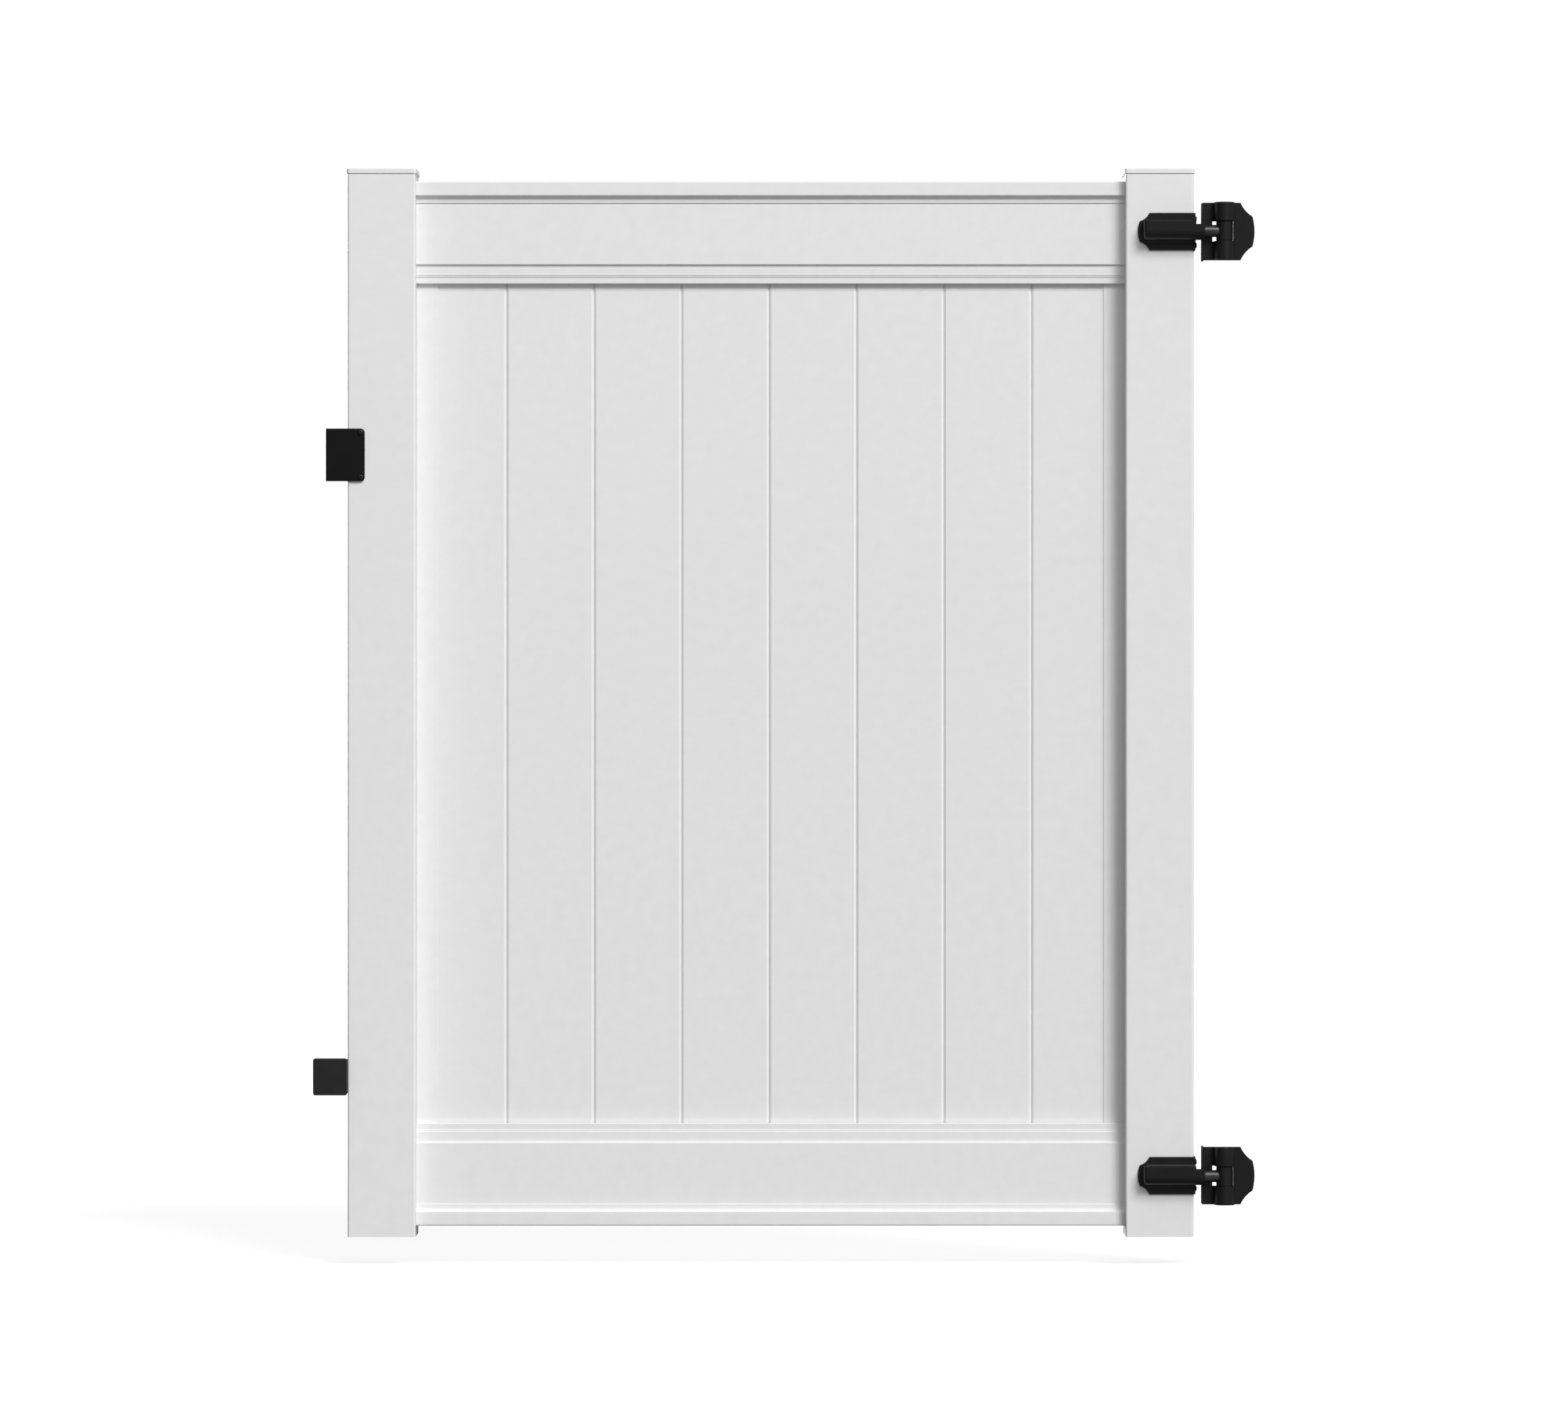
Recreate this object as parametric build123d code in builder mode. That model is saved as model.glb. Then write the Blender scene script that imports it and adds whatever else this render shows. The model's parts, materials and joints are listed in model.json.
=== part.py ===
from build123d import *
import os
from math import hypot

# A white vinyl privacy gate: two hollow square stiles with flat caps, two moulded rails, eight boards with tongues
# and grooves between U-channels, two black adjustable self-closing hinges, a gravity latch and a gate stop.
# The origin is on the hinge pins' axis, level with the bottoms of the stiles. +X points at the hinge post,
# -Y is the front, which the gate opens towards, and +Z is up. All sizes are in millimetres.

# ---------------------------------------------------------------- stiles and caps
stile_height = 1854.0
stile_size = 118.0
stile_wall = 3.0
stile_corner = 3.5
cap_overhang = 1.75
cap_top = 2.5
cap_skirt = 5.5
cap_fit = 0.2
cap_top_chamfer = 0.8

# ---------------------------------------------------------------- rails
rail_height = 177.0
rail_inset = 18.5
rail_entry = 102.5
rail_fit = 0.3
rail_wall = 2.6
band_half = 38.0
band_end = 24.3
shoulder_half = 29.5
shoulder_end = 37.0
field_half = 27.5
field_end = 144.0
lower_half = 23.5
lower_end = 163.0
bead_half = 22.4
bead_end = 166.2
lip_half = 21.3
outer_round = 2.4
arris_round = 0.9
cove_radius = 7.0
slope_radius = 3.0
bead_round = 0.45
pocket_depth = 44.0

# ---------------------------------------------------------------- boards
board_count = 8
board_pitch = 152.4
board_thickness = 22.2
board_wall = 1.6
board_web = 1.4
board_cells = 4
board_gap = 0.2
chamfer_left = 3.6
chamfer_right = 4.3
chamfer_depth = 2.4
tongue_length = 6.0
tongue_thickness = 8.0
tongue_fit = 0.3
board_head_room = 2.0

# ---------------------------------------------------------------- U-channels and their screws
channel_leg = 36.7
channel_wall = 1.35
channel_fit = 0.25
channel_entry = 17.5
pocket_fit = 0.3
edge_gap = 3.0
channel_screws = 5
channel_screw_margin = 160.0
small_head_radius = 3.6
small_head_height = 2.1
small_shank_radius = 1.9
small_screw_length = 15.0
screw_hole_fit = 0.1
drive_radius = 1.5
drive_depth = 1.3
head_round_share = 0.45

# ---------------------------------------------------------------- aluminium stiffeners
stiffener_wall = 2.5
stiffener_fit = 0.25
stile_stiffener_flange = 42.0
stile_stiffener_margin = 6.0
rail_stiffener_height = 62.0

# ---------------------------------------------------------------- hinges
gate_gap = 17.5
axis_stand_off = 17.0
axis_overlap = 35.0
leaf_thickness = 4.0
leg_thickness = 3.0
leg_depth = 40.0
plate_round = 1.2
post_leaf_height = 100.0
barrel_radius = 17.5
barrel_cove = 6.0
window_height = 35.0
window_left = 20.5
window_right = 15.2
web_front = 8.0
post_top_edge = 28.6
post_nose = 53.0
post_nose_corner = 49.5
post_nose_half = 26.0
scallop_bow = 2.4
knuckle_radius = 14.3
knuckle_play = 0.5
knuckle_chamfer = 0.8
pin_radius = 5.0
pin_fit = 0.05
pin_bottom_cover = 5.0
pin_top_gap = 0.3
pin_chamfer = 0.8
spring_floor = 3.0
spring_cavity_radius = 12.5
spring_radius = 8.5
spring_wire = 1.1
spring_pitch = 3.0
spring_end_play = 0.4
tension_cap_radius = 14.0
tension_cap_height = 4.0
tension_cap_fit = 0.1
tension_cap_chamfer = 0.7
tension_hex = 4.0
tension_hex_depth = 2.5
post_hole_radius = 3.2
post_hole_rise = 38.0
post_hole_depths = (13.0, 30.0)
gate_leaf_height = 65.0
gate_leaf_length = 100.0
gate_nose_drop = 18.0
gate_nose_bow = 3.4
gate_scallop_x = 20.0
boss_radius = 15.5
boss_left = 140.0
boss_right = 34.0
boss_round = 6.0
boss_clearance = 1.5
rod_radius = 10.5
rod_end_wall = 3.0
rod_tail = 118.0
rod_chamfer = 1.0
rod_hole_tail = 122.0
leaf_hole_rise = 23.0
leaf_hole_depths = (13.0, 29.0)
leaf_head_radius = 4.6
leaf_head_height = 2.8
leaf_shank_radius = 2.4
leaf_screw_length = 15.5
set_screw_radius = 3.0
set_screw_length = 4.4
set_screw_inset = 0.3
set_screw_positions = (62.0, 96.0)

# ---------------------------------------------------------------- latch
latch_height = 1359.0
latch_plate_height = 91.5
latch_plate_over_stile = 30.0
latch_plate_over_post = 37.5
latch_plate_thickness = 5.0
latch_plate_relief = 1.0
latch_plate_corner = 7.0
latch_screw_inset = 7.0
latch_head_radius = 4.6
latch_head_height = 2.4
latch_screw_length = 14.0
case_thickness = 14.0
case_depth = 70.0
case_half_height = 38.0
case_base = 3.0
case_rib = 3.0
striker_slot_half = 6.0
striker_slot_drop = 10.0
striker_rest = 30.0
catch_thickness = 5.0
catch_side_play = 0.6
catch_pivot_back = 16.0
catch_pivot_rise = 18.0
catch_pivot_radius = 3.0
catch_arm_half = 6.0
catch_nose_width = 9.0
catch_nose_ramp = 14.0
catch_nose_hold = 3.0
catch_nose_clearance = 1.0
catch_rest_radius = 3.0
catch_rest_back = 56.0
catch_rest_gap = 0.3
catch_tail_beyond = 33.0
thumb_pad_width = 34.0
thumb_pad_thickness = 5.0
thumb_pad_length = 18.0
pivot_head_radius = 5.0
pivot_head_height = 2.0
pivot_head_chamfer = 0.7

# ---------------------------------------------------------------- gate stop
stop_height = 279.0
stop_pad_width = 59.0
stop_pad_height = 64.0
stop_pad_thickness = 8.0
stop_pad_front = 18.0
stop_corner = 2.6
stop_leg_thickness = 4.0
stop_leg_depth = 44.0
stop_leg_height = 58.0
bumper_radius = 14.0
bumper_gap = 0.3
bumper_round = 2.3
stop_screw_rise = 18.0
stop_screw_back = 26.0

# ---------------------------------------------------------------- places worked out from the sizes above
front_y = axis_stand_off
stile_y = front_y + stile_size / 2
hinge_face_x = -axis_overlap - gate_gap
hinge_inner_x = hinge_face_x - stile_size
board_body = board_pitch - board_gap
channel_outer = board_thickness + 2 * channel_fit + 2 * channel_wall
pocket_half = channel_outer / 2 + pocket_fit
panel_width = board_count * board_pitch - board_gap + tongue_length + 2 * (channel_wall + edge_gap)
latch_inner_x = hinge_inner_x - panel_width
latch_face_x = latch_inner_x - stile_size
rail_left = latch_inner_x - rail_entry
rail_length = panel_width + 2 * rail_entry
opening_bottom = rail_inset + rail_height
opening_top = stile_height - opening_bottom
board_bottom = opening_bottom - pocket_depth
board_length = opening_top - opening_bottom + 2 * pocket_depth - board_head_room
first_board_x = latch_inner_x + channel_wall + edge_gap
hinge_levels = {"lower": rail_inset + rail_height / 2, "upper": stile_height - rail_inset - rail_height / 2}
pin_hole = pin_radius + pin_fit

os.makedirs("parts", exist_ok=True)


def finish(piece, name):
    """Label a finished sub-part and write its STEP file."""
    piece.part.label = name
    export_step(piece.part, f"parts/{name}.step")


def bowed(start, end, bow):
    """The middle point of an arc from start to end that bows to the left of the chord by bow."""
    dx = end[0] - start[0]
    dy = end[1] - start[1]
    length = hypot(dx, dy)
    return ((start[0] + end[0]) / 2 - dy / length * bow, (start[1] + end[1]) / 2 + dx / length * bow)


# ---------------------------------------------------------------- rail section
def rail_outline(plane, grow=0.0):
    """The rail's stepped outline: local x is its thickness, and y runs from its outer edge to the boards."""
    steps = [
        (band_half, 0.0, outer_round, 0.0),
        (band_half, band_end, arris_round, cove_radius),
        (shoulder_half, shoulder_end, bead_round, bead_round * 2),
        (field_half, field_end, arris_round, slope_radius),
        (lower_half, lower_end, bead_round, bead_round),
        (bead_half, bead_end, bead_round, bead_round),
        (lip_half, rail_height, arris_round, 0.0),
    ]
    corners = [(band_half + grow, -grow, outer_round + grow)]
    for here, below in zip(steps[1:], steps[2:] + [None]):
        corners.append((here[0] + grow, here[1] + grow, here[2] + grow))
        if below:
            corners.append((below[0] + grow, here[1] + grow, here[3] - grow))
    corners += [(-x, y, r) for x, y, r in reversed(corners)]
    with BuildSketch(plane) as outline:
        with BuildLine():
            FilletPolyline([(x, y) for x, y, r in corners], radius=[r for x, y, r in corners], close=True)
        make_face()
    return outline.sketch


def rail_cavities(plane):
    """The hollows of the rail's extrusion, and the pocket that the boards stand in."""
    cavity_half = field_half - rail_wall
    cavity_end = field_end - rail_wall
    pocket_top = rail_height - pocket_depth
    with BuildSketch(plane) as hollows:
        with Locations((0, (rail_wall + band_end) / 2)):
            Rectangle(2 * (band_half - rail_wall), band_end - rail_wall)
        with Locations((0, (rail_wall + cavity_end) / 2)):
            Rectangle(2 * cavity_half, cavity_end - rail_wall)
        with Locations((0, (pocket_top - rail_wall + cavity_end) / 2)):
            pocket_wall_depth = cavity_end - pocket_top + rail_wall
            Rectangle(2 * (pocket_half + rail_wall), pocket_wall_depth, mode=Mode.SUBTRACT)
        with Locations((0, band_end + outer_round / 2)):
            Rectangle(2 * cavity_half, rail_wall * 2)
        with Locations((0, pocket_top + pocket_depth / 2 + arris_round)):
            Rectangle(2 * pocket_half, pocket_depth + 2 * arris_round)
    return hollows.sketch


def rail_plane(x, top):
    """A plane across the gate whose local y points from the rail's outer edge towards the boards."""
    if top:
        return Plane((x, stile_y, stile_height - rail_inset), x_dir=(0, 1, 0), z_dir=(-1, 0, 0))
    return Plane((x, stile_y, rail_inset), x_dir=(0, -1, 0), z_dir=(-1, 0, 0))


def make_rail(name, top):
    """A hollow moulded rail, which goes into both stiles."""
    plane = rail_plane(rail_left + rail_length, top)
    with BuildPart() as rail:
        extrude(rail_outline(plane), amount=rail_length)
        extrude(rail_cavities(plane), amount=rail_length, mode=Mode.SUBTRACT)
    finish(rail, name)


# ---------------------------------------------------------------- stiles
def make_stile(name, x_left, slot_x):
    """A hollow square upright with a routed slot for each rail in the side that faces the boards."""
    middle = (x_left + stile_size / 2, stile_y)
    with BuildPart() as stile:
        with BuildSketch(Plane.XY):
            with Locations(middle):
                RectangleRounded(stile_size, stile_size, stile_corner)
                RectangleRounded(
                    stile_size - 2 * stile_wall,
                    stile_size - 2 * stile_wall,
                    stile_corner - stile_wall / 2,
                    mode=Mode.SUBTRACT,
                )
        extrude(amount=stile_height)
        for top in (False, True):
            slot = rail_outline(rail_plane(slot_x + stile_wall, top), rail_fit)
            extrude(slot, amount=2 * stile_wall, mode=Mode.SUBTRACT)
        small_hole = small_shank_radius + screw_hole_fit
        cut_across(channel_screw_points(slot_x), small_hole, 4 * stile_wall)
        if name == "stile_hinge_side":
            cut_across(leaf_screw_points(), leaf_shank_radius + screw_hole_fit, 4 * stile_wall)
        else:
            cut_across(stop_screw_points(), small_hole, 4 * stile_wall)
            with Locations(*latch_screw_points()):
                Cylinder(small_hole, 4 * stile_wall, rotation=(90, 0, 0), mode=Mode.SUBTRACT)
    finish(stile, name)


def make_cap(name, x_left):
    """A flat cap whose skirt goes over the top of a stile."""
    middle = (x_left + stile_size / 2, stile_y)
    outer = stile_size + 2 * cap_overhang
    inner = stile_size + 2 * cap_fit
    with BuildPart() as cap:
        with BuildSketch(Plane.XY.offset(stile_height - cap_skirt)):
            with Locations(middle):
                RectangleRounded(outer, outer, stile_corner + cap_overhang)
        extrude(amount=cap_skirt + cap_top)
        chamfer(cap.edges().group_by(Axis.Z)[-1], cap_top_chamfer)
        with BuildSketch(Plane.XY.offset(stile_height - cap_skirt)):
            with Locations(middle):
                RectangleRounded(inner, inner, stile_corner + cap_fit)
        extrude(amount=cap_skirt, mode=Mode.SUBTRACT)
    finish(cap, name)


# ---------------------------------------------------------------- boards
def board_section(plane):
    """A hollow tongue-and-groove board in plan, from the groove's edge at local x 0 to the tongue's tip."""
    half = board_thickness / 2
    shoulder = half - chamfer_depth
    groove_depth = tongue_length + board_gap + tongue_fit
    cells_start = groove_depth + board_wall
    cell_pitch = (board_body - board_wall - cells_start + board_web) / board_cells
    cell_width = cell_pitch - board_web
    cell_thickness = board_thickness - 2 * board_wall - chamfer_depth
    with BuildSketch(plane) as section:
        with BuildLine():
            Polyline(
                (0, -shoulder),
                (chamfer_left, -half),
                (board_body - chamfer_right, -half),
                (board_body, -shoulder),
                (board_body, -tongue_thickness / 2),
                (board_body + tongue_length, -tongue_thickness / 2),
                (board_body + tongue_length, tongue_thickness / 2),
                (board_body, tongue_thickness / 2),
                (board_body, shoulder),
                (board_body - chamfer_right, half),
                (chamfer_left, half),
                (0, shoulder),
                close=True,
            )
        make_face()
        with Locations((groove_depth / 2, 0)):
            Rectangle(groove_depth, tongue_thickness + 2 * tongue_fit, mode=Mode.SUBTRACT)
        for i in range(board_cells):
            with Locations((cells_start + i * cell_pitch + cell_width / 2, 0)):
                Rectangle(cell_width, cell_thickness, mode=Mode.SUBTRACT)
    return section.sketch


def make_board(index):
    """One of the boards, which stands on the floor of the bottom rail's pocket."""
    x = first_board_x + index * board_pitch
    with BuildPart() as board:
        extrude(board_section(Plane((x, stile_y, board_bottom))), amount=board_length)
    finish(board, f"board_{index + 1}")


# ---------------------------------------------------------------- U-channels
def channel_screw_points(x):
    """The centres of a U-channel's screws, on the stile's face at x."""
    low = opening_bottom + channel_screw_margin
    step = (opening_top - opening_bottom - 2 * channel_screw_margin) / (channel_screws - 1)
    return [(x, stile_y, low + i * step) for i in range(channel_screws)]


def make_channel(name, x, inward):
    """A U-channel that holds the outermost board's edge: its web lies on the stile's face at x."""
    bottom = opening_bottom - channel_entry
    length = opening_top - opening_bottom + 2 * channel_entry
    with BuildPart() as channel:
        with BuildSketch(Plane((x, stile_y, bottom))):
            with Locations((inward * channel_leg / 2, 0)):
                Rectangle(channel_leg, channel_outer)
            with Locations((inward * (channel_leg / 2 + channel_wall), 0)):
                Rectangle(channel_leg, channel_outer - 2 * channel_wall, mode=Mode.SUBTRACT)
        extrude(amount=length)
        cut_across(channel_screw_points(x), small_shank_radius + screw_hole_fit, 4 * channel_wall)
    finish(channel, name)


def screw_group(name, points, head_plane, head_radius, head_height, shank_radius, length):
    """Pan-head screws as separate solids: head_plane(point) starts under the head and faces outwards."""
    with BuildPart() as screws:
        for point in points:
            plane = head_plane(point)
            with BuildSketch(plane):
                Circle(head_radius)
            extrude(amount=head_height)
            with BuildSketch(plane):
                Circle(shank_radius)
            extrude(amount=-length)
            with BuildSketch(plane.offset(head_height)):
                RegularPolygon(drive_radius, 6)
            extrude(amount=-drive_depth, mode=Mode.SUBTRACT)
        rims = screws.edges().filter_by(GeomType.CIRCLE)
        rims = rims.filter_by(lambda e: abs(e.radius - head_radius) < 1e-6)
        tops = [head_plane(point).offset(head_height) for point in points]
        rims = rims.filter_by(lambda e: any(abs(t.to_local_coords(e.arc_center).Z) < 1e-6 for t in tops))
        fillet(rims, head_height * head_round_share)
    finish(screws, name)


def facing(direction):
    """A function that makes a plane at a point, facing the given direction."""
    return lambda point: Plane(point, z_dir=direction)


def make_channel_screws(name, x, inward):
    """The screws that hold a U-channel to its stile."""
    points = [(x + inward * channel_wall, y, z) for x, y, z in channel_screw_points(x)]
    screw_group(
        name,
        points,
        facing((inward, 0, 0)),
        small_head_radius,
        small_head_height,
        small_shank_radius,
        small_screw_length,
    )


# ---------------------------------------------------------------- stiffeners
def make_stile_stiffener():
    """An aluminium channel inside the hinge stile, behind the leaf screws, open towards the boards."""
    outer_x = hinge_face_x - stile_wall - stiffener_fit
    width = stile_size - 2 * stile_wall - 2 * stiffener_fit
    bottom = stile_stiffener_margin
    with BuildPart() as stiffener:
        with BuildSketch(Plane((outer_x, stile_y, bottom))):
            with Locations((-stile_stiffener_flange / 2, 0)):
                Rectangle(stile_stiffener_flange, width)
            with Locations((-stile_stiffener_flange / 2 - stiffener_wall, 0)):
                Rectangle(stile_stiffener_flange, width - 2 * stiffener_wall, mode=Mode.SUBTRACT)
        extrude(amount=stile_height - 2 * stile_stiffener_margin)
        chamfer(stiffener.edges().filter_by(Axis.Z).group_by(Axis.X)[-1], stiffener_wall / 2)
        cut_across(leaf_screw_points(), leaf_shank_radius + screw_hole_fit, 8 * stiffener_wall)
    finish(stiffener, "hinge_stile_stiffener")


def make_rail_stiffener(name, top):
    """An aluminium channel inside a rail, standing on the wall above or below the board pocket."""
    half = field_half - rail_wall - stiffener_fit
    seat = rail_height - pocket_depth - rail_wall - stiffener_fit
    plane = rail_plane(rail_left + rail_length - stile_stiffener_margin, top)
    with BuildPart() as stiffener:
        with BuildSketch(plane):
            with Locations((0, seat - rail_stiffener_height / 2)):
                Rectangle(2 * half, rail_stiffener_height)
            with Locations((0, seat - rail_stiffener_height / 2 - stiffener_wall)):
                Rectangle(2 * (half - stiffener_wall), rail_stiffener_height, mode=Mode.SUBTRACT)
        extrude(amount=rail_length - 2 * stile_stiffener_margin)
    finish(stiffener, name)


# ---------------------------------------------------------------- hinges
def leaf_screw_points():
    """The centres of the screws through the gate leaves, on the stile's outer side."""
    return [
        (hinge_face_x, front_y + depth, level + side * leaf_hole_rise)
        for level in hinge_levels.values()
        for depth in leaf_hole_depths
        for side in (-1, 1)
    ]


def hinge_front(level, back):
    """A plane facing the front at the hinge's level, back millimetres behind the pin's axis."""
    return Plane((0, back, level), x_dir=(1, 0, 0), z_dir=(0, -1, 0))


def barrel_section(plane):
    """The post leaf's barrel in plan: round in front, flat flanks, and a cove on the side of the gate."""
    plate_front = front_y - leaf_thickness
    with BuildSketch(plane) as section:
        Circle(barrel_radius)
        with Locations((0, front_y / 2)):
            Rectangle(2 * barrel_radius, front_y)
        with Locations((-barrel_radius - barrel_cove / 2, plate_front - barrel_cove / 2)):
            Rectangle(barrel_cove, barrel_cove)
        with Locations((-barrel_radius - barrel_cove, plate_front - barrel_cove)):
            Circle(barrel_cove, mode=Mode.SUBTRACT)
    return section.sketch


def cut_bores(level, bores):
    """Cut holes on the pin's axis out of the part being built: each has its two levels and its radius."""
    for low, high, radius in bores:
        with Locations((0, 0, level + (low + high) / 2)):
            Cylinder(radius, high - low, mode=Mode.SUBTRACT)


def cut_across(points, radius, depth):
    """Cut round holes that run along X out of the part being built."""
    with Locations(*points):
        Cylinder(radius, depth, rotation=(0, 90, 0), mode=Mode.SUBTRACT)


def make_post_leaf(side, level):
    """The post half of a hinge: a scalloped plate, a leg for the post's corner, and two barrels with a web."""
    half = post_leaf_height / 2
    window_half = window_height / 2
    post_left = -axis_overlap - leg_thickness
    plate_front = front_y - leaf_thickness
    scallop_top = ((post_top_edge, half), (post_nose_corner, post_nose_half))
    scallop_bottom = ((post_nose_corner, -post_nose_half), (post_top_edge, -half))
    with BuildPart() as leaf:
        with BuildSketch(hinge_front(level, front_y)):
            with BuildLine():
                Polyline(scallop_bottom[1], (post_left, -half), (post_left, half), scallop_top[0])
                ThreePointArc(scallop_top[0], bowed(*scallop_top, -scallop_bow), scallop_top[1])
                ThreePointArc(scallop_top[1], (post_nose, 0), scallop_bottom[0])
                ThreePointArc(scallop_bottom[0], bowed(*scallop_bottom, -scallop_bow), scallop_bottom[1])
            make_face()
        extrude(amount=leaf_thickness)
        fillet(leaf.faces().sort_by(Axis.Y)[0].edges(), plate_round)
        for low in (-half, window_half):
            extrude(barrel_section(Plane((0, 0, level + low))), amount=half - window_half)
        with BuildSketch(hinge_front(level, front_y)):
            with Locations(((window_right - window_left) / 2, 0)):
                Rectangle(window_left + window_right, window_height)
        extrude(amount=leaf_thickness, mode=Mode.SUBTRACT)
        with BuildSketch(Plane((post_left, front_y - leaf_thickness / 2, level))):
            with Locations((leg_thickness / 2, (leg_depth + leaf_thickness / 2) / 2)):
                Rectangle(leg_thickness, leg_depth + leaf_thickness / 2)
        extrude(amount=half, both=True)
        with Locations(((window_right + barrel_radius) / 2, (plate_front - web_front) / 2, level)):
            Box(barrel_radius - window_right, plate_front + web_front, window_height)
        cut_bores(
            level,
            [
                (pin_bottom_cover - half, half, pin_hole),
                (window_half + spring_floor, half, spring_cavity_radius),
                (half - tension_cap_height, half, tension_cap_radius),
            ],
        )
        cut_across(post_hole_points(level), post_hole_radius, 4 * leg_thickness)
    finish(leaf, f"{side}_post_leaf")


def post_hole_points(level):
    """The centres of the screw holes in a post leaf's leg."""
    return [
        (-axis_overlap - leg_thickness / 2, front_y + depth, level + rise)
        for depth in post_hole_depths
        for rise in (-post_hole_rise, post_hole_rise)
    ]


def make_hinge_pin(side, level):
    """The steel pin, from the blind end of the lower barrel to just under the tension cap."""
    bottom = level - post_leaf_height / 2 + pin_bottom_cover
    top = level + post_leaf_height / 2 - tension_cap_height - pin_top_gap
    with BuildPart() as pin:
        with BuildSketch(Plane.XY.offset(bottom)):
            Circle(pin_radius)
        extrude(amount=top - bottom)
        chamfer(pin.edges().filter_by(GeomType.CIRCLE), pin_chamfer)
    finish(pin, f"{side}_hinge_pin")


def make_tension_spring(side, level):
    """The torsion spring round the pin in the upper barrel, which closes the gate."""
    low = level + window_height / 2 + spring_floor + spring_end_play + spring_wire
    high = level + post_leaf_height / 2 - tension_cap_height - spring_end_play - spring_wire
    with BuildPart() as spring:
        with BuildLine(Plane.XY.offset(low)):
            coil = Helix(pitch=spring_pitch, height=high - low, radius=spring_radius)
        with BuildSketch(Plane(coil @ 0, z_dir=coil % 0)):
            Circle(spring_wire)
        sweep(path=coil, is_frenet=True)
    finish(spring, f"{side}_tension_spring")


def make_tension_cap(side, level):
    """The hexagon-socket cap that closes the upper barrel and winds the spring."""
    bottom = level + post_leaf_height / 2 - tension_cap_height
    with BuildPart() as cap:
        with BuildSketch(Plane.XY.offset(bottom)):
            Circle(tension_cap_radius - tension_cap_fit)
        extrude(amount=tension_cap_height)
        chamfer(cap.edges().group_by(Axis.Z)[-1], tension_cap_chamfer)
        with BuildSketch(Plane.XY.offset(bottom + tension_cap_height)):
            RegularPolygon(tension_hex, 6)
        extrude(amount=-tension_hex_depth, mode=Mode.SUBTRACT)
    finish(cap, f"{side}_tension_cap")


def make_knuckle(side, level):
    """The eye that turns on the pin between the two barrels, with a socket for the adjusting rod."""
    half = window_height / 2 - knuckle_play
    socket_end = -pin_hole - rod_end_wall
    with BuildPart() as knuckle:
        with BuildSketch(Plane.XY.offset(level - half)):
            Circle(knuckle_radius)
        extrude(amount=2 * half)
        chamfer(knuckle.edges().filter_by(GeomType.CIRCLE), knuckle_chamfer)
        with BuildSketch(Plane((socket_end, 0, level), z_dir=(-1, 0, 0))):
            Circle(rod_radius + pin_fit)
        extrude(amount=knuckle_radius, mode=Mode.SUBTRACT)
        with Locations((0, 0, level)):
            Cylinder(pin_hole, 2 * half, mode=Mode.SUBTRACT)
    finish(knuckle, f"{side}_knuckle")


def make_adjuster_rod(side, level):
    """The steel rod between the gate leaf's boss and the knuckle, which sets the gap beside the post."""
    start = -pin_hole - rod_end_wall
    with BuildPart() as rod:
        with BuildSketch(Plane((start, 0, level), z_dir=(-1, 0, 0))):
            Circle(rod_radius)
        extrude(amount=rod_tail + start)
        chamfer(rod.edges().filter_by(GeomType.CIRCLE).group_by(Axis.X)[0], rod_chamfer)
    finish(rod, f"{side}_adjuster_rod")


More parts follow.
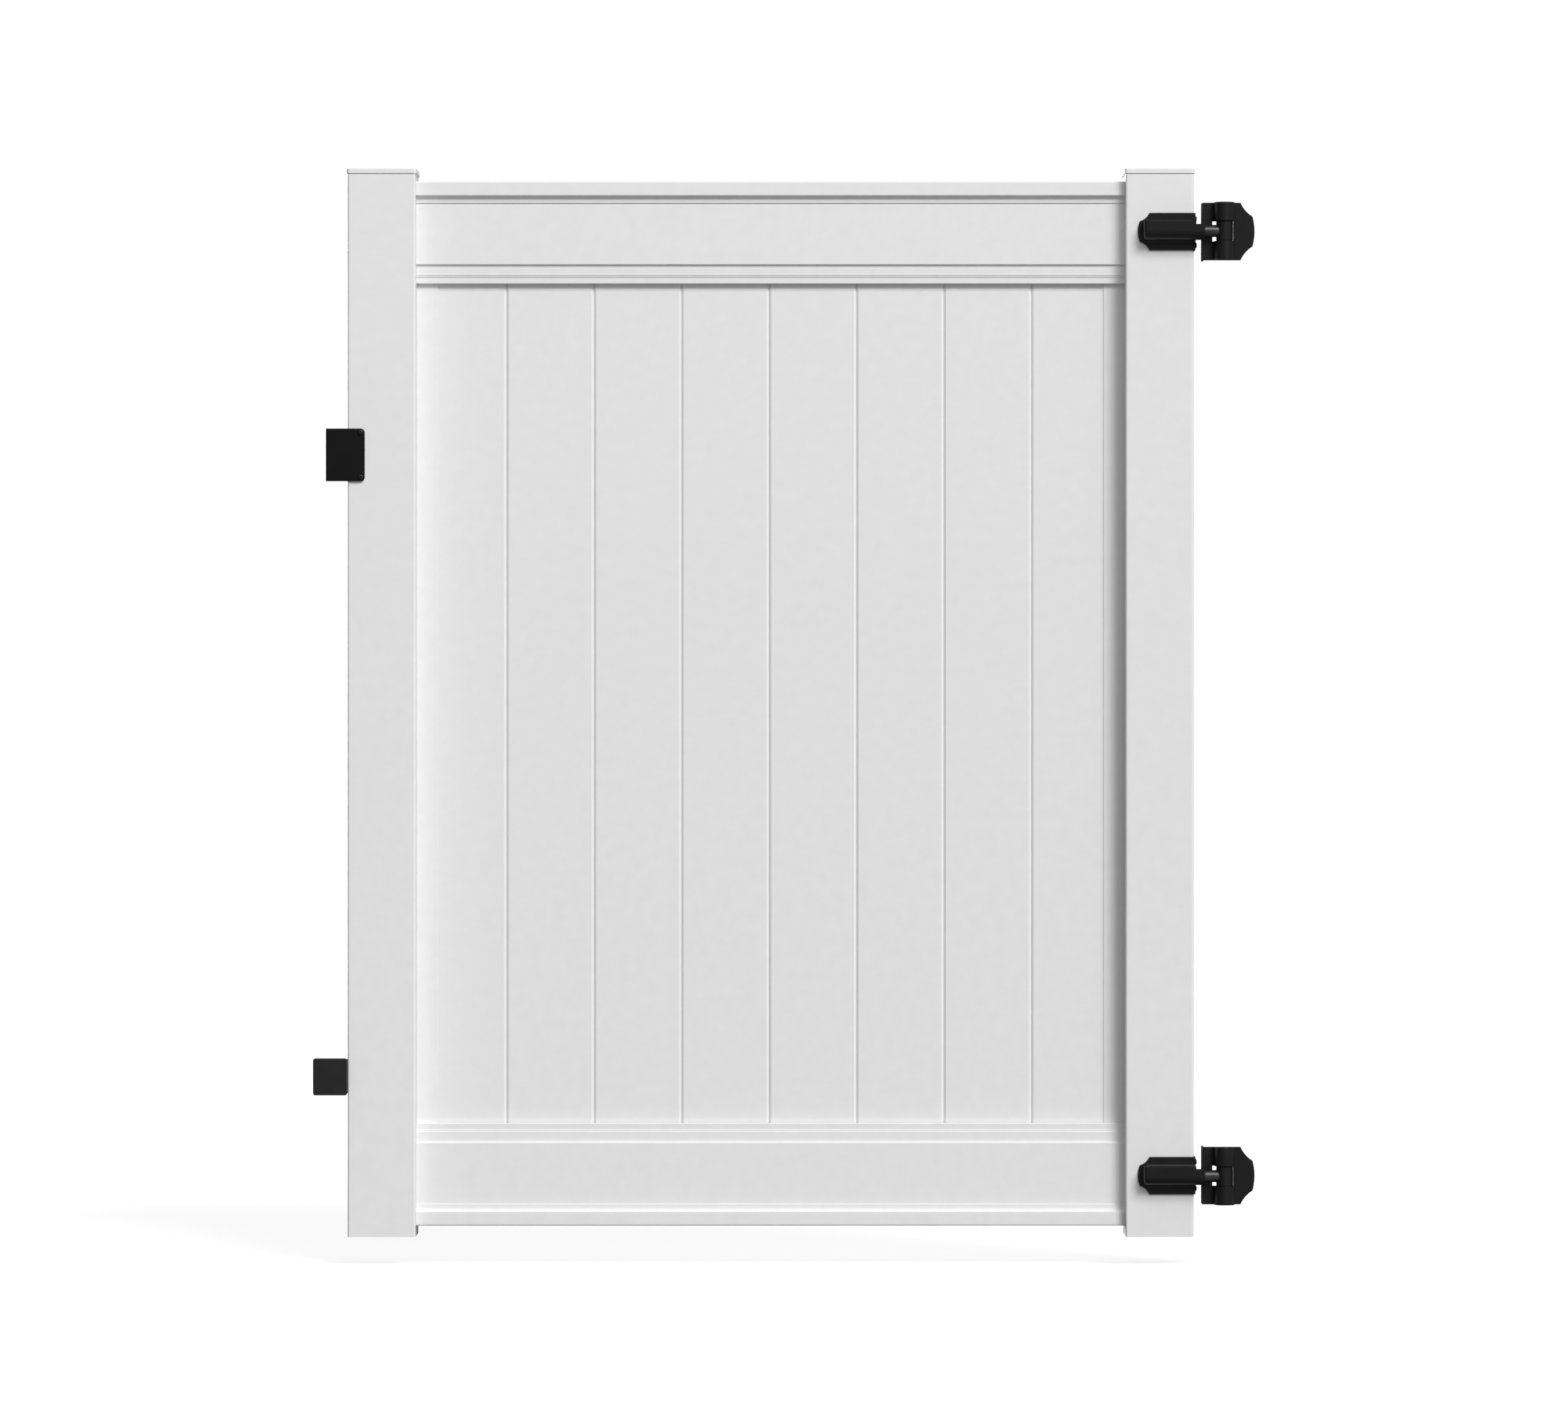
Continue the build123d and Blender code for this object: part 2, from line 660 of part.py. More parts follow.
def make_gate_leaf(side, level):
    """The gate half of a hinge: a notched plate, a leg on the stile's side, and a boss bored for the rod."""
    half = gate_leaf_height / 2
    right = hinge_face_x + leg_thickness
    left = right - gate_leaf_length
    top_left = (left + gate_scallop_x, half)
    nose_top = (left + gate_nose_bow, gate_nose_drop)
    nose_bottom = (left + gate_nose_bow, -gate_nose_drop)
    bottom_left = (left + gate_scallop_x, -half)
    plate_front = front_y - leaf_thickness
    with BuildPart() as leaf:
        with BuildSketch(hinge_front(level, front_y)):
            with BuildLine():
                Polyline(bottom_left, (right, -half), (right, half), top_left)
                ThreePointArc(top_left, bowed(top_left, nose_top, scallop_bow), nose_top)
                ThreePointArc(nose_top, (left, 0), nose_bottom)
                ThreePointArc(nose_bottom, bowed(nose_bottom, bottom_left, scallop_bow), bottom_left)
            make_face()
        extrude(amount=leaf_thickness)
        fillet(leaf.faces().sort_by(Axis.Y)[0].edges(), plate_round)
        with BuildSketch(Plane((right - leg_thickness, front_y - leaf_thickness / 2, level))):
            with Locations((leg_thickness / 2, (leg_depth + leaf_thickness / 2) / 2)):
                Rectangle(leg_thickness, leg_depth + leaf_thickness / 2)
        extrude(amount=half, both=True)
        with BuildPart(mode=Mode.PRIVATE) as boss:
            with BuildSketch(Plane((-boss_left, 0, level), x_dir=(0, 1, 0), z_dir=(1, 0, 0))):
                Circle(boss_radius)
                with Locations((plate_front / 2 + leaf_thickness / 2, 0)):
                    Rectangle(plate_front + leaf_thickness, 2 * boss_radius)
            extrude(amount=boss_left - boss_right)
            fillet(boss.faces().sort_by(Axis.X)[0].edges().filter_by(GeomType.CIRCLE), boss_round)
        add(boss.part)
        cut_front = plate_front - boss_clearance
        cut_depth = boss_radius - cut_front + leaf_thickness
        with Locations(((right - boss_right) / 2, cut_front + cut_depth / 2, level)):
            Box(-boss_right - right, cut_depth, 2 * boss_radius, mode=Mode.SUBTRACT)
        with BuildSketch(Plane((-boss_right, 0, level), z_dir=(-1, 0, 0))):
            Circle(rod_radius + pin_fit)
        extrude(amount=rod_hole_tail - boss_right, mode=Mode.SUBTRACT)
        cut_across(leaf_screw_points(), leaf_shank_radius + screw_hole_fit, 8 * leg_thickness)
        with Locations(*set_screw_points(level)):
            Cylinder(set_screw_radius, 2 * boss_radius - 2 * rod_radius, mode=Mode.SUBTRACT)
    finish(leaf, f"{side}_gate_leaf")


def set_screw_points(level):
    """The centres of the grub screws, on top of the boss."""
    return [(-x, 0, level + boss_radius) for x in set_screw_positions]


def make_set_screws(side, level):
    """The hexagon-socket grub screws that hold the rod in the boss."""
    top = level + boss_radius - set_screw_inset
    with BuildPart() as screws:
        for x, y, z in set_screw_points(level):
            with BuildSketch(Plane((x, y, top))):
                Circle(set_screw_radius - screw_hole_fit)
            extrude(amount=-set_screw_length)
            with BuildSketch(Plane((x, y, top))):
                RegularPolygon(drive_radius, 6)
            extrude(amount=-drive_depth, mode=Mode.SUBTRACT)
    finish(screws, f"{side}_set_screws")


def make_leaf_screws(side, level):
    """The screws through the gate leaf's leg into the stile and its stiffener."""
    points = [
        (hinge_face_x + leg_thickness, y, z)
        for x, y, z in leaf_screw_points()
        if abs(z - level) < gate_leaf_height
    ]
    screw_group(
        f"{side}_leaf_screws",
        points,
        facing((1, 0, 0)),
        leaf_head_radius,
        leaf_head_height,
        leaf_shank_radius,
        leaf_screw_length,
    )


# ---------------------------------------------------------------- latch
def latch_screw_points():
    """The centres of the latch plate's screws, on the stile's front face."""
    x = latch_face_x + latch_plate_over_stile - latch_screw_inset
    rise = latch_plate_height / 2 - latch_screw_inset
    return [(x, front_y, latch_height + side * rise) for side in (-1, 1)]


def case_plane(out=0.0):
    """A plane out from the stile's latch side: local x runs to the back, y up, and it faces the stile."""
    return Plane((latch_face_x - out, front_y, latch_height), x_dir=(0, 1, 0), z_dir=(1, 0, 0))


def make_latch_body():
    """The latch's casting: a front plate that laps the post, and the open case behind it in the gap."""
    plate_left = latch_face_x - latch_plate_over_post
    plate_width = latch_plate_over_post + latch_plate_over_stile
    slot = -striker_slot_drop
    with BuildPart() as body:
        with BuildSketch(Plane((plate_left, front_y, latch_height), x_dir=(1, 0, 0), z_dir=(0, -1, 0))):
            with Locations((plate_width / 2, 0)):
                plate = Rectangle(plate_width, latch_plate_height)
            fillet(plate.vertices().group_by(Axis.X)[-1], latch_plate_corner)
        extrude(amount=latch_plate_thickness)
        fillet(body.faces().sort_by(Axis.Y)[0].edges(), plate_round)
        relief_middle = plate_left + latch_plate_over_post / 2
        with Locations((relief_middle, front_y - latch_plate_relief / 2, latch_height)):
            Box(latch_plate_over_post, latch_plate_relief, latch_plate_height, mode=Mode.SUBTRACT)
        case_start = -latch_plate_relief - case_base / 2
        with BuildSketch(case_plane()):
            with Locations(((case_depth + case_start) / 2, 0)):
                Rectangle(case_depth - case_start, 2 * case_half_height)
        extrude(amount=-case_base)
        ribs = [
            (case_start, case_depth, -case_half_height + case_rib / 2),
            (case_start, case_depth, slot - striker_slot_half - case_rib / 2),
            (case_start, striker_rest, slot + striker_slot_half + case_rib / 2),
        ]
        rest_rise = catch_pivot_rise - catch_arm_half - catch_rest_gap - catch_rest_radius
        with BuildSketch(case_plane()):
            for start, end, rise in ribs:
                with Locations(((start + end) / 2, rise)):
                    Rectangle(end - start, case_rib)
            with Locations((catch_rest_back, rest_rise)):
                Circle(catch_rest_radius)
        extrude(amount=-case_thickness)
        with BuildSketch(case_plane()):
            with Locations((catch_pivot_back, catch_pivot_rise)):
                Circle(catch_pivot_radius + pin_fit)
        extrude(amount=-case_thickness, mode=Mode.SUBTRACT)
        screw_hole = small_shank_radius + screw_hole_fit
        with Locations(*latch_screw_points()):
            Cylinder(screw_hole, 4 * latch_plate_thickness, rotation=(90, 0, 0), mode=Mode.SUBTRACT)
    finish(body, "latch_body")


def make_latch_catch():
    """The gravity catch: an arm with a ramped nose behind the striker, and a thumb pad behind the stile."""
    arm = catch_arm_half
    nose_front = striker_rest + catch_nose_clearance
    nose_low = -striker_slot_drop - catch_nose_hold
    tail = stile_size + catch_tail_beyond
    near = case_base + catch_side_play
    with BuildPart() as catch:
        with BuildSketch(case_plane(near)):
            with BuildLine():
                Polyline(
                    (catch_pivot_back, catch_pivot_rise - arm),
                    (nose_front, catch_pivot_rise - arm),
                    (nose_front, nose_low),
                    (nose_front + catch_nose_width / 2, nose_low),
                    (nose_front + catch_nose_width + catch_nose_ramp, catch_pivot_rise - arm),
                    (tail, catch_pivot_rise - arm),
                    (tail, catch_pivot_rise + arm),
                    (catch_pivot_back, catch_pivot_rise + arm),
                    close=True,
                )
            make_face()
            with Locations((catch_pivot_back, catch_pivot_rise)):
                Circle(arm)
                Circle(catch_pivot_radius + pin_fit, mode=Mode.SUBTRACT)
        extrude(amount=-catch_thickness)
        pad_x = latch_face_x - near - catch_thickness + thumb_pad_width / 2
        pad_y = front_y + tail - thumb_pad_length / 2
        with Locations((pad_x, pad_y, latch_height + catch_pivot_rise + arm - thumb_pad_thickness / 2)):
            Box(thumb_pad_width, thumb_pad_length, thumb_pad_thickness)
        pads = catch.edges().filter_by(Axis.Z).group_by(Axis.X)[-1]
        fillet(pads, thumb_pad_thickness)
    finish(catch, "latch_catch")


def make_latch_pivot():
    """The headed pivot that carries the catch, riveted in the case's base."""
    head_start = case_base + catch_side_play + catch_thickness + catch_side_play / 2
    with BuildPart() as pivot:
        with BuildSketch(case_plane()):
            with Locations((catch_pivot_back, catch_pivot_rise)):
                Circle(catch_pivot_radius)
        extrude(amount=-head_start)
        with BuildSketch(case_plane(head_start)):
            with Locations((catch_pivot_back, catch_pivot_rise)):
                Circle(pivot_head_radius)
        extrude(amount=-pivot_head_height)
        chamfer(pivot.edges().filter_by(GeomType.CIRCLE).group_by(Axis.X)[0], pivot_head_chamfer)
    finish(pivot, "latch_pivot")


def make_latch_screws():
    """The two socket screws through the latch plate into the stile."""
    points = [(x, y - latch_plate_thickness, z) for x, y, z in latch_screw_points()]
    screw_group(
        "latch_screws",
        points,
        facing((0, -1, 0)),
        latch_head_radius,
        latch_head_height,
        small_shank_radius,
        latch_screw_length,
    )


# ---------------------------------------------------------------- gate stop
def stop_screw_points():
    """The centres of the stop's screws, on the latch side of the stile."""
    back = front_y + stop_screw_back
    return [(latch_face_x, back, stop_height + side * stop_screw_rise) for side in (-1, 1)]


def make_stop_bracket():
    """The stop: a square pad in front of the latch post, on a leg screwed to the stile's side."""
    pad_y = front_y - stop_pad_front
    pad_place = (latch_face_x, pad_y + stop_pad_thickness, stop_height)
    with BuildPart() as bracket:
        with BuildSketch(Plane(pad_place, x_dir=(1, 0, 0), z_dir=(0, -1, 0))):
            with Locations((-stop_pad_width / 2, 0)):
                pad = Rectangle(stop_pad_width, stop_pad_height)
            chamfer(pad.vertices(), stop_corner)
        extrude(amount=stop_pad_thickness)
        fillet(bracket.faces().sort_by(Axis.Y)[0].edges(), plate_round)
        leg_start = pad_y + stop_pad_thickness / 2
        leg_end = front_y + stop_leg_depth
        with Locations((latch_face_x - stop_leg_thickness / 2, (leg_start + leg_end) / 2, stop_height)):
            Box(stop_leg_thickness, leg_end - leg_start, stop_leg_height)
        cut_across(stop_screw_points(), small_shank_radius + screw_hole_fit, 4 * stop_leg_thickness)
    finish(bracket, "stop_bracket")


def make_stop_bumper():
    """The rubber bumper on the back of the pad, which lands on the post."""
    middle = (stop_leg_thickness + stop_pad_width) / 2
    pad_back = front_y - stop_pad_front + stop_pad_thickness
    with BuildPart() as bumper:
        with BuildSketch(Plane((latch_face_x - middle, pad_back, stop_height), z_dir=(0, 1, 0))):
            Circle(bumper_radius)
        extrude(amount=stop_pad_front - stop_pad_thickness - bumper_gap)
        fillet(bumper.edges().group_by(Axis.Y)[-1], bumper_round)
    finish(bumper, "stop_bumper")


def make_stop_screws():
    """The two screws through the stop's leg into the stile's side."""
    points = [(x - stop_leg_thickness, y, z) for x, y, z in stop_screw_points()]
    screw_group(
        "stop_screws",
        points,
        facing((-1, 0, 0)),
        small_head_radius,
        small_head_height,
        small_shank_radius,
        small_screw_length,
    )


# ---------------------------------------------------------------- the whole gate
make_stile("stile_hinge_side", hinge_inner_x, hinge_inner_x)
make_stile("stile_latch_side", latch_face_x, latch_inner_x)
make_cap("cap_hinge_side", hinge_inner_x)
make_cap("cap_latch_side", latch_face_x)
make_rail("top_rail", True)
make_rail("bottom_rail", False)
for board_index in range(board_count):
    make_board(board_index)
make_channel("u_channel_latch_side", latch_inner_x, 1)
make_channel("u_channel_hinge_side", hinge_inner_x, -1)
make_channel_screws("channel_screws_latch_side", latch_inner_x, 1)
make_channel_screws("channel_screws_hinge_side", hinge_inner_x, -1)
make_stile_stiffener()
make_rail_stiffener("top_rail_stiffener", True)
make_rail_stiffener("bottom_rail_stiffener", False)
for hinge_side, hinge_level in hinge_levels.items():
    make_post_leaf(hinge_side, hinge_level)
    make_hinge_pin(hinge_side, hinge_level)
    make_tension_spring(hinge_side, hinge_level)
    make_tension_cap(hinge_side, hinge_level)
    make_knuckle(hinge_side, hinge_level)
    make_adjuster_rod(hinge_side, hinge_level)
    make_gate_leaf(hinge_side, hinge_level)
    make_set_screws(hinge_side, hinge_level)
    make_leaf_screws(hinge_side, hinge_level)
make_latch_body()
make_latch_catch()
make_latch_pivot()
make_latch_screws()
make_stop_bracket()
make_stop_bumper()
make_stop_screws()
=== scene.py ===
# %% [markdown]
# # A white vinyl garden gate
# The design gives us the gate as plain solids that already fit and move. In this lesson we dress it: each
# visible part gets its own surface, worked out with numpy, and each surface gets a finish built from shader
# nodes. Almost every part of a gate is one outline carried along a straight line, with a soft rim where it
# ends. So two surface functions make nearly everything, and the rest of the work is to describe each part's
# outline.

# %% Load the frame
import json
from math import radians

import bmesh
import bpy
import numpy as np
from mathutils import Matrix, Vector


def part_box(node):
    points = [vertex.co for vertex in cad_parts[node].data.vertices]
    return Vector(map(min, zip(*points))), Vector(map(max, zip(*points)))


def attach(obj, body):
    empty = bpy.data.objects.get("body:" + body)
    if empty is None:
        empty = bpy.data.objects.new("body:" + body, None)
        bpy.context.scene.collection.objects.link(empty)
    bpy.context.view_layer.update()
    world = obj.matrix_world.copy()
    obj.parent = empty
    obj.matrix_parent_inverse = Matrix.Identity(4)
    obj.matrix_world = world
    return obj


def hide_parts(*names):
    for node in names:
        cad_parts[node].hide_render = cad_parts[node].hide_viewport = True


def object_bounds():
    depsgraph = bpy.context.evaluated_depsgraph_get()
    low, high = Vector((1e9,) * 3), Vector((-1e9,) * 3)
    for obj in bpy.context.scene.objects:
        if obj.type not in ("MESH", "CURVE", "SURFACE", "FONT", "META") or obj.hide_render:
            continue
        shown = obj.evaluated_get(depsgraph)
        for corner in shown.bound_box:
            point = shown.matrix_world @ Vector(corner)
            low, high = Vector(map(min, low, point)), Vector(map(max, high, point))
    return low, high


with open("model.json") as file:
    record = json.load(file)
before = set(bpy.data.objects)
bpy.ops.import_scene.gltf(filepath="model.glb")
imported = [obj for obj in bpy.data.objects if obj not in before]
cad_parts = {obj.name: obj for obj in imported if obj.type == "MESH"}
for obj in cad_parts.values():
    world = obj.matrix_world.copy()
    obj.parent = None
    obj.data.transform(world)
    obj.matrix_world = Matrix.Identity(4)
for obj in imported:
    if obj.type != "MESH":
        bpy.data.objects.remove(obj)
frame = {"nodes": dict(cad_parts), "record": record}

cad_box = [list(corner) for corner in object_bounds()]
MM = 0.001
body_of = {node: body for body, nodes in frame["record"]["behaviour"]["bodies"].items() for node in nodes}
slot_of = {entry["node"]: entry["material_slot"] for entry in frame["record"]["subparts"]}


def box_mm(node):
    """A node's lowest and highest corners at rest, in millimetres."""
    low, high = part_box(node)
    return np.array(low) / MM, np.array(high) / MM


# %% [markdown]
# ## Camera and light
# A catalogue view of a gate is taken from far away with a long lens, so that its upright lines stay
# parallel. The light comes from above and a little from the right. A sun lamp with a wide angle acts as a
# distant soft box: it lights the whole gate evenly, which a lamp near one corner would not. A second one low
# behind the gate, on its left, lights its back, and the side that faces us when the gate stands open. A
# large dim panel adds the long soft reflection that shows the shape of the black parts.

# %% Camera
FRAME_WIDTH = 2720.0
CAMERA_DISTANCE = 14.0
EYE_HEIGHT = 0.928
gate_middle = (np.array(cad_box[0]) + np.array(cad_box[1])) / 2
view_aim = Vector((gate_middle[0], 0.0, EYE_HEIGHT))

scene = bpy.context.scene
camera_data = bpy.data.cameras.new("camera")
camera_data.sensor_width = 36.0
camera_data.lens = camera_data.sensor_width * CAMERA_DISTANCE / (FRAME_WIDTH * MM)
camera_data.clip_end = 200.0
camera = bpy.data.objects.new("camera", camera_data)
camera.location = view_aim + Vector((0.0, -CAMERA_DISTANCE, 0.0))
camera.rotation_euler = (radians(90), 0.0, 0.0)
scene.collection.objects.link(camera)
scene.camera = camera
scene.view_settings.view_transform = "Standard"
print("the lens is", round(camera_data.lens), "mm long")

# %% Lamps
SOFT_ANGLE = radians(24)
SOFT_BOXES = {
    "soft_key": (Vector((0.38, -0.66, 0.62)), 2.46),
    "soft_back": (Vector((-0.55, 0.82, 0.06)), 2.5),
}
for name, (towards_lamp, energy) in SOFT_BOXES.items():
    lamp_data = bpy.data.lights.new(name, "SUN")
    lamp_data.energy = energy
    lamp_data.angle = SOFT_ANGLE
    lamp = bpy.data.objects.new(name, lamp_data)
    lamp.rotation_euler = towards_lamp.to_track_quat("Z", "Y").to_euler()
    scene.collection.objects.link(lamp)

PANEL_SIZE = (3.0, 1.2)
PANEL_POWER = 18.0
PANEL_PLACE = Vector((0.6, -2.4, 3.2))
PANEL_BACK = Vector((0.2, -2.4, 3.0))
panel_data = bpy.data.lights.new("reflection_panel", "AREA")
panel_data.shape = "RECTANGLE"
panel_data.size, panel_data.size_y = PANEL_SIZE
panel_data.energy = PANEL_POWER
panel = bpy.data.objects.new("reflection_panel", panel_data)
panel.location = view_aim + PANEL_PLACE
panel.rotation_euler = PANEL_BACK.to_track_quat("Z", "Y").to_euler()
scene.collection.objects.link(panel)


# %% [markdown]
# ## Colours and nodes
# Paint charts give colours as sRGB hex values, but the renderer works in linear light, so one function
# converts them all. Another adds a node with its settings and links, which keeps each material short.

# %% Two helpers for materials
def linear(hex_colour):
    """An sRGB hex colour as linear red, green, blue and alpha.

    Each channel c becomes ((c + 0.055) / 1.055) ** 2.4, or c / 12.92 where it is very dark.
    """
    c = np.array([int(hex_colour[i : i + 2], 16) / 255 for i in (1, 3, 5)])
    lin = np.where(c <= 0.04045, c / 12.92, ((c + 0.055) / 1.055) ** 2.4)
    return (*lin.tolist(), 1.0)


def put(tree, kind, inputs=None, **settings):
    """Add one node: settings are its own properties, and inputs are values, or sockets to link from."""
    node = tree.nodes.new(kind)
    for name, value in settings.items():
        setattr(node, name, value)
    for name, value in (inputs or {}).items():
        if isinstance(value, bpy.types.NodeSocket):
            tree.links.new(value, node.inputs[name])
        else:
            node.inputs[name].default_value = value
    return node


# %% [markdown]
# ## A light room and a light table
# A product studio puts a white object in a white room, and then hangs dark cloth on one side so that its
# edges still show. Here the room's light grows towards its bright wall, so faces that turn away from it fall
# into shade. The floor is a light table, a white sheet lit from below. It hides the floor's own shadow
# almost completely. The table isn't seen by diffuse or glossy rays, or its light would wash out the
# undersides of the rails.

# %% The room
BRIGHT_WALL = Vector((0.55, -0.60, 0.25))
ROOM_LIGHT = 0.465
SHADE_LIMIT, BRIGHT_LIMIT = -0.7, 0.9
WHITE = linear("#ffffff")
world = bpy.data.worlds.new("studio")
world.use_nodes = True
scene.world = world
tree = world.node_tree
tree.nodes.clear()
direction = put(tree, "ShaderNodeTexCoord")
facing_wall = put(
    tree, "ShaderNodeVectorMath", {0: direction.outputs["Generated"], 1: BRIGHT_WALL}, operation="DOT_PRODUCT"
)
shading = {"From Min": SHADE_LIMIT, "From Max": BRIGHT_LIMIT, "To Min": 0.0, "To Max": ROOM_LIGHT}
room_light = put(tree, "ShaderNodeMapRange", {"Value": facing_wall.outputs["Value"], **shading})
fill = put(tree, "ShaderNodeBackground", {"Color": WHITE, "Strength": room_light.outputs["Result"]})
paper = put(tree, "ShaderNodeBackground", {"Color": WHITE, "Strength": 1.0})
ray = put(tree, "ShaderNodeLightPath")
choice = put(
    tree,
    "ShaderNodeMixShader",
    {0: ray.outputs["Is Camera Ray"], 1: fill.outputs["Background"], 2: paper.outputs["Background"]},
)
put(tree, "ShaderNodeOutputWorld", {"Surface": choice.outputs["Shader"]})
print("the room's light runs from 0 to", ROOM_LIGHT)

# %% The light table
GROUND_CLEARANCE = 50.0
TABLE_RADIUS = 7.0
TABLE_GLOW = 0.78
table_z = (box_mm("stile_latch_side")[0][2] - GROUND_CLEARANCE) * MM
turn = np.linspace(0, 2 * np.pi, 97)[:-1]
table_rim = np.column_stack(
    [gate_middle[0] + TABLE_RADIUS * np.cos(turn), TABLE_RADIUS * np.sin(turn), np.full(len(turn), table_z)]
)
table_mesh = bpy.data.meshes.new("light_table")
table_mesh.from_pydata(table_rim.tolist(), [], [list(range(len(turn)))])
table = bpy.data.objects.new("light_table", table_mesh)
table.visible_diffuse = False
table.visible_glossy = False
scene.collection.objects.link(table)
opal = bpy.data.materials.new("opal acrylic light table")
opal.use_nodes = True
opal_surface = opal.node_tree.nodes["Principled BSDF"]
opal_surface.inputs["Base Color"].default_value = linear("#a8a8a8")
opal_surface.inputs["Roughness"].default_value = 0.9
opal_surface.inputs["Emission Color"].default_value = WHITE
opal_surface.inputs["Emission Strength"].default_value = TABLE_GLOW
table_mesh.materials.append(opal)
print("the table is", GROUND_CLEARANCE, "mm under the stiles")


# %% [markdown]
# ## Finishes
# Each finish starts from the real material. All of them read Object coordinates, which are metres on these
# pieces, so a pattern that repeats every s millimetres needs a noise scale of 1000 / s. Vinyl fence parts
# are rigid PVC pushed through a heated die. That leaves a satin skin with very faint draw lines along the
# part, and a slow waviness across it. So the noise is stretched along the part's length. The skin is a
# little rough all over, which breaks up its reflection, so the specular level is below the usual 0.5. The
# moulded caps are the same plastic.

# %% The base of every finish
def finish_base(name, metallic, roughness, ior=None):
    """A new node material, its tree, its Principled shader, and the Object coordinates for its patterns."""
    material = bpy.data.materials.new(name)
    material.use_nodes = True
    tree = material.node_tree
    surface = tree.nodes["Principled BSDF"]
    surface.inputs["Metallic"].default_value = metallic
    surface.inputs["Roughness"].default_value = roughness
    if ior:
        surface.inputs["IOR"].default_value = ior
    place = put(tree, "ShaderNodeTexCoord").outputs["Object"]
    return material, tree, surface, place


def noise(tree, place, size_mm, detail=2.0, stretch=(1.0, 1.0, 1.0)):
    """A noise from 0 to 1 whose blotches are about size_mm across, drawn out by stretch along each axis."""
    inverse = [1.0 / factor for factor in stretch]
    mapped = put(tree, "ShaderNodeMapping", {"Vector": place, "Scale": inverse})
    settings = {"Vector": mapped.outputs["Vector"], "Scale": 1000 / size_mm, "Detail": detail}
    return put(tree, "ShaderNodeTexNoise", settings).outputs["Fac"]


def vary(tree, value, low, high):
    """Spread the middle of a noise, 0.3 to 0.7, over low to high."""
    inputs = {"Value": value, "From Min": 0.3, "From Max": 0.7, "To Min": low, "To Max": high}
    return put(tree, "ShaderNodeMapRange", inputs).outputs["Result"]


def tint(tree, surface, value, dark, light):
    """Colour the surface between two hex colours by a value from 0 to 1."""
    mix = put(tree, "ShaderNodeMix", {"Factor": value}, data_type="RGBA")
    mix.inputs["A"].default_value = linear(dark)
    mix.inputs["B"].default_value = linear(light)
    tree.links.new(mix.outputs["Result"], surface.inputs["Base Color"])


def relief(tree, surface, value, depth_mm):
    """Bump of a real depth in millimetres."""
    bump = put(tree, "ShaderNodeBump", {"Height": value, "Strength": 1.0, "Distance": depth_mm * MM})
    tree.links.new(bump.outputs["Normal"], surface.inputs["Normal"])


# %% White vinyl
DRAW_LINE_SPACING = 5.0
DRAW_LINE_STRETCH = 90.0
DRAW_LINE_DEPTH = 0.012
MOTTLE_SIZE = 22.0
VINYL_IOR = 1.53
VINYL_SHINE = 0.3
VINYL_ROUGHNESS = (0.44, 0.52)


def white_vinyl(name, along):
    """Satin rigid PVC: slow mottling, and draw lines along one axis (0 for x, 1 for y, 2 for z)."""
    material, tree, surface, place = finish_base(name, 0.0, np.mean(VINYL_ROUGHNESS), VINYL_IOR)
    surface.inputs["Specular IOR Level"].default_value = VINYL_SHINE
    stretch = [1.0, 1.0, 1.0]
    stretch[along] = DRAW_LINE_STRETCH
    lines = noise(tree, place, DRAW_LINE_SPACING, 3.0, stretch)
    mottle = noise(tree, place, MOTTLE_SIZE, 4.0)
    tint(tree, surface, vary(tree, mottle, 0.0, 1.0), "#e6e6e6", "#e9e9e9")
    tree.links.new(vary(tree, lines, *VINYL_ROUGHNESS), surface.inputs["Roughness"])
    relief(tree, surface, lines, DRAW_LINE_DEPTH)
    return material


upright_vinyl = white_vinyl("extruded white vinyl upright", 2)
level_vinyl = white_vinyl("extruded white vinyl level", 0)
moulded_vinyl = white_vinyl("moulded white vinyl cap", 1)
print("vinyl draw lines are", DRAW_LINE_SPACING, "mm apart")


# %% [markdown]
# The black parts are not one black. The hinge castings and the latch carry a powder coat, which is plastic
# dust baked into an even skin with a fine orange peel. The gate stop is moulded nylon, which is greyer and
# duller. The rod is bare steel with a black oxide, so it keeps a metal's bright line of light. The screws
# are the same steel, and the bumper is soft rubber with hardly any gloss. The real peel is about 0.4 mm
# across, too fine to show, so it is drawn 1.6 mm across. It also scatters the reflection, so the coats have
# a low specular level, and the latch has the lowest. A metal keeps its default IOR and specular level. Out
# of sight are bright zinc screws, stainless pins and the mill finish of the aluminium stiffeners.

# %% Coated, moulded and metal finishes
DRIFT_SIZE = 30.0
ROUGHNESS_SWING = 0.05


def black_coat(name, dark, light, roughness, metallic=0.0, ior=1.5, shine=0.5, grain_mm=1.6, depth_mm=0.02):
    """A skin with a fine grain: the colour drifts slowly, and the grain moves its gloss and its relief."""
    material, tree, surface, place = finish_base(name, metallic, roughness, None if metallic else ior)
    surface.inputs["Specular IOR Level"].default_value = shine
    drift = noise(tree, place, DRIFT_SIZE, 3.0)
    grain = noise(tree, place, grain_mm, 2.0)
    tint(tree, surface, vary(tree, drift, 0.0, 1.0), dark, light)
    gloss = vary(tree, grain, roughness - ROUGHNESS_SWING, roughness + ROUGHNESS_SWING)
    tree.links.new(gloss, surface.inputs["Roughness"])
    relief(tree, surface, grain, depth_mm)
    return material


def metal(name, dark, light, roughness, grain_mm, depth_mm):
    """The same skin on bare metal, whose grain is wider and far shallower."""
    return black_coat(name, dark, light, roughness, metallic=1.0, grain_mm=grain_mm, depth_mm=depth_mm)


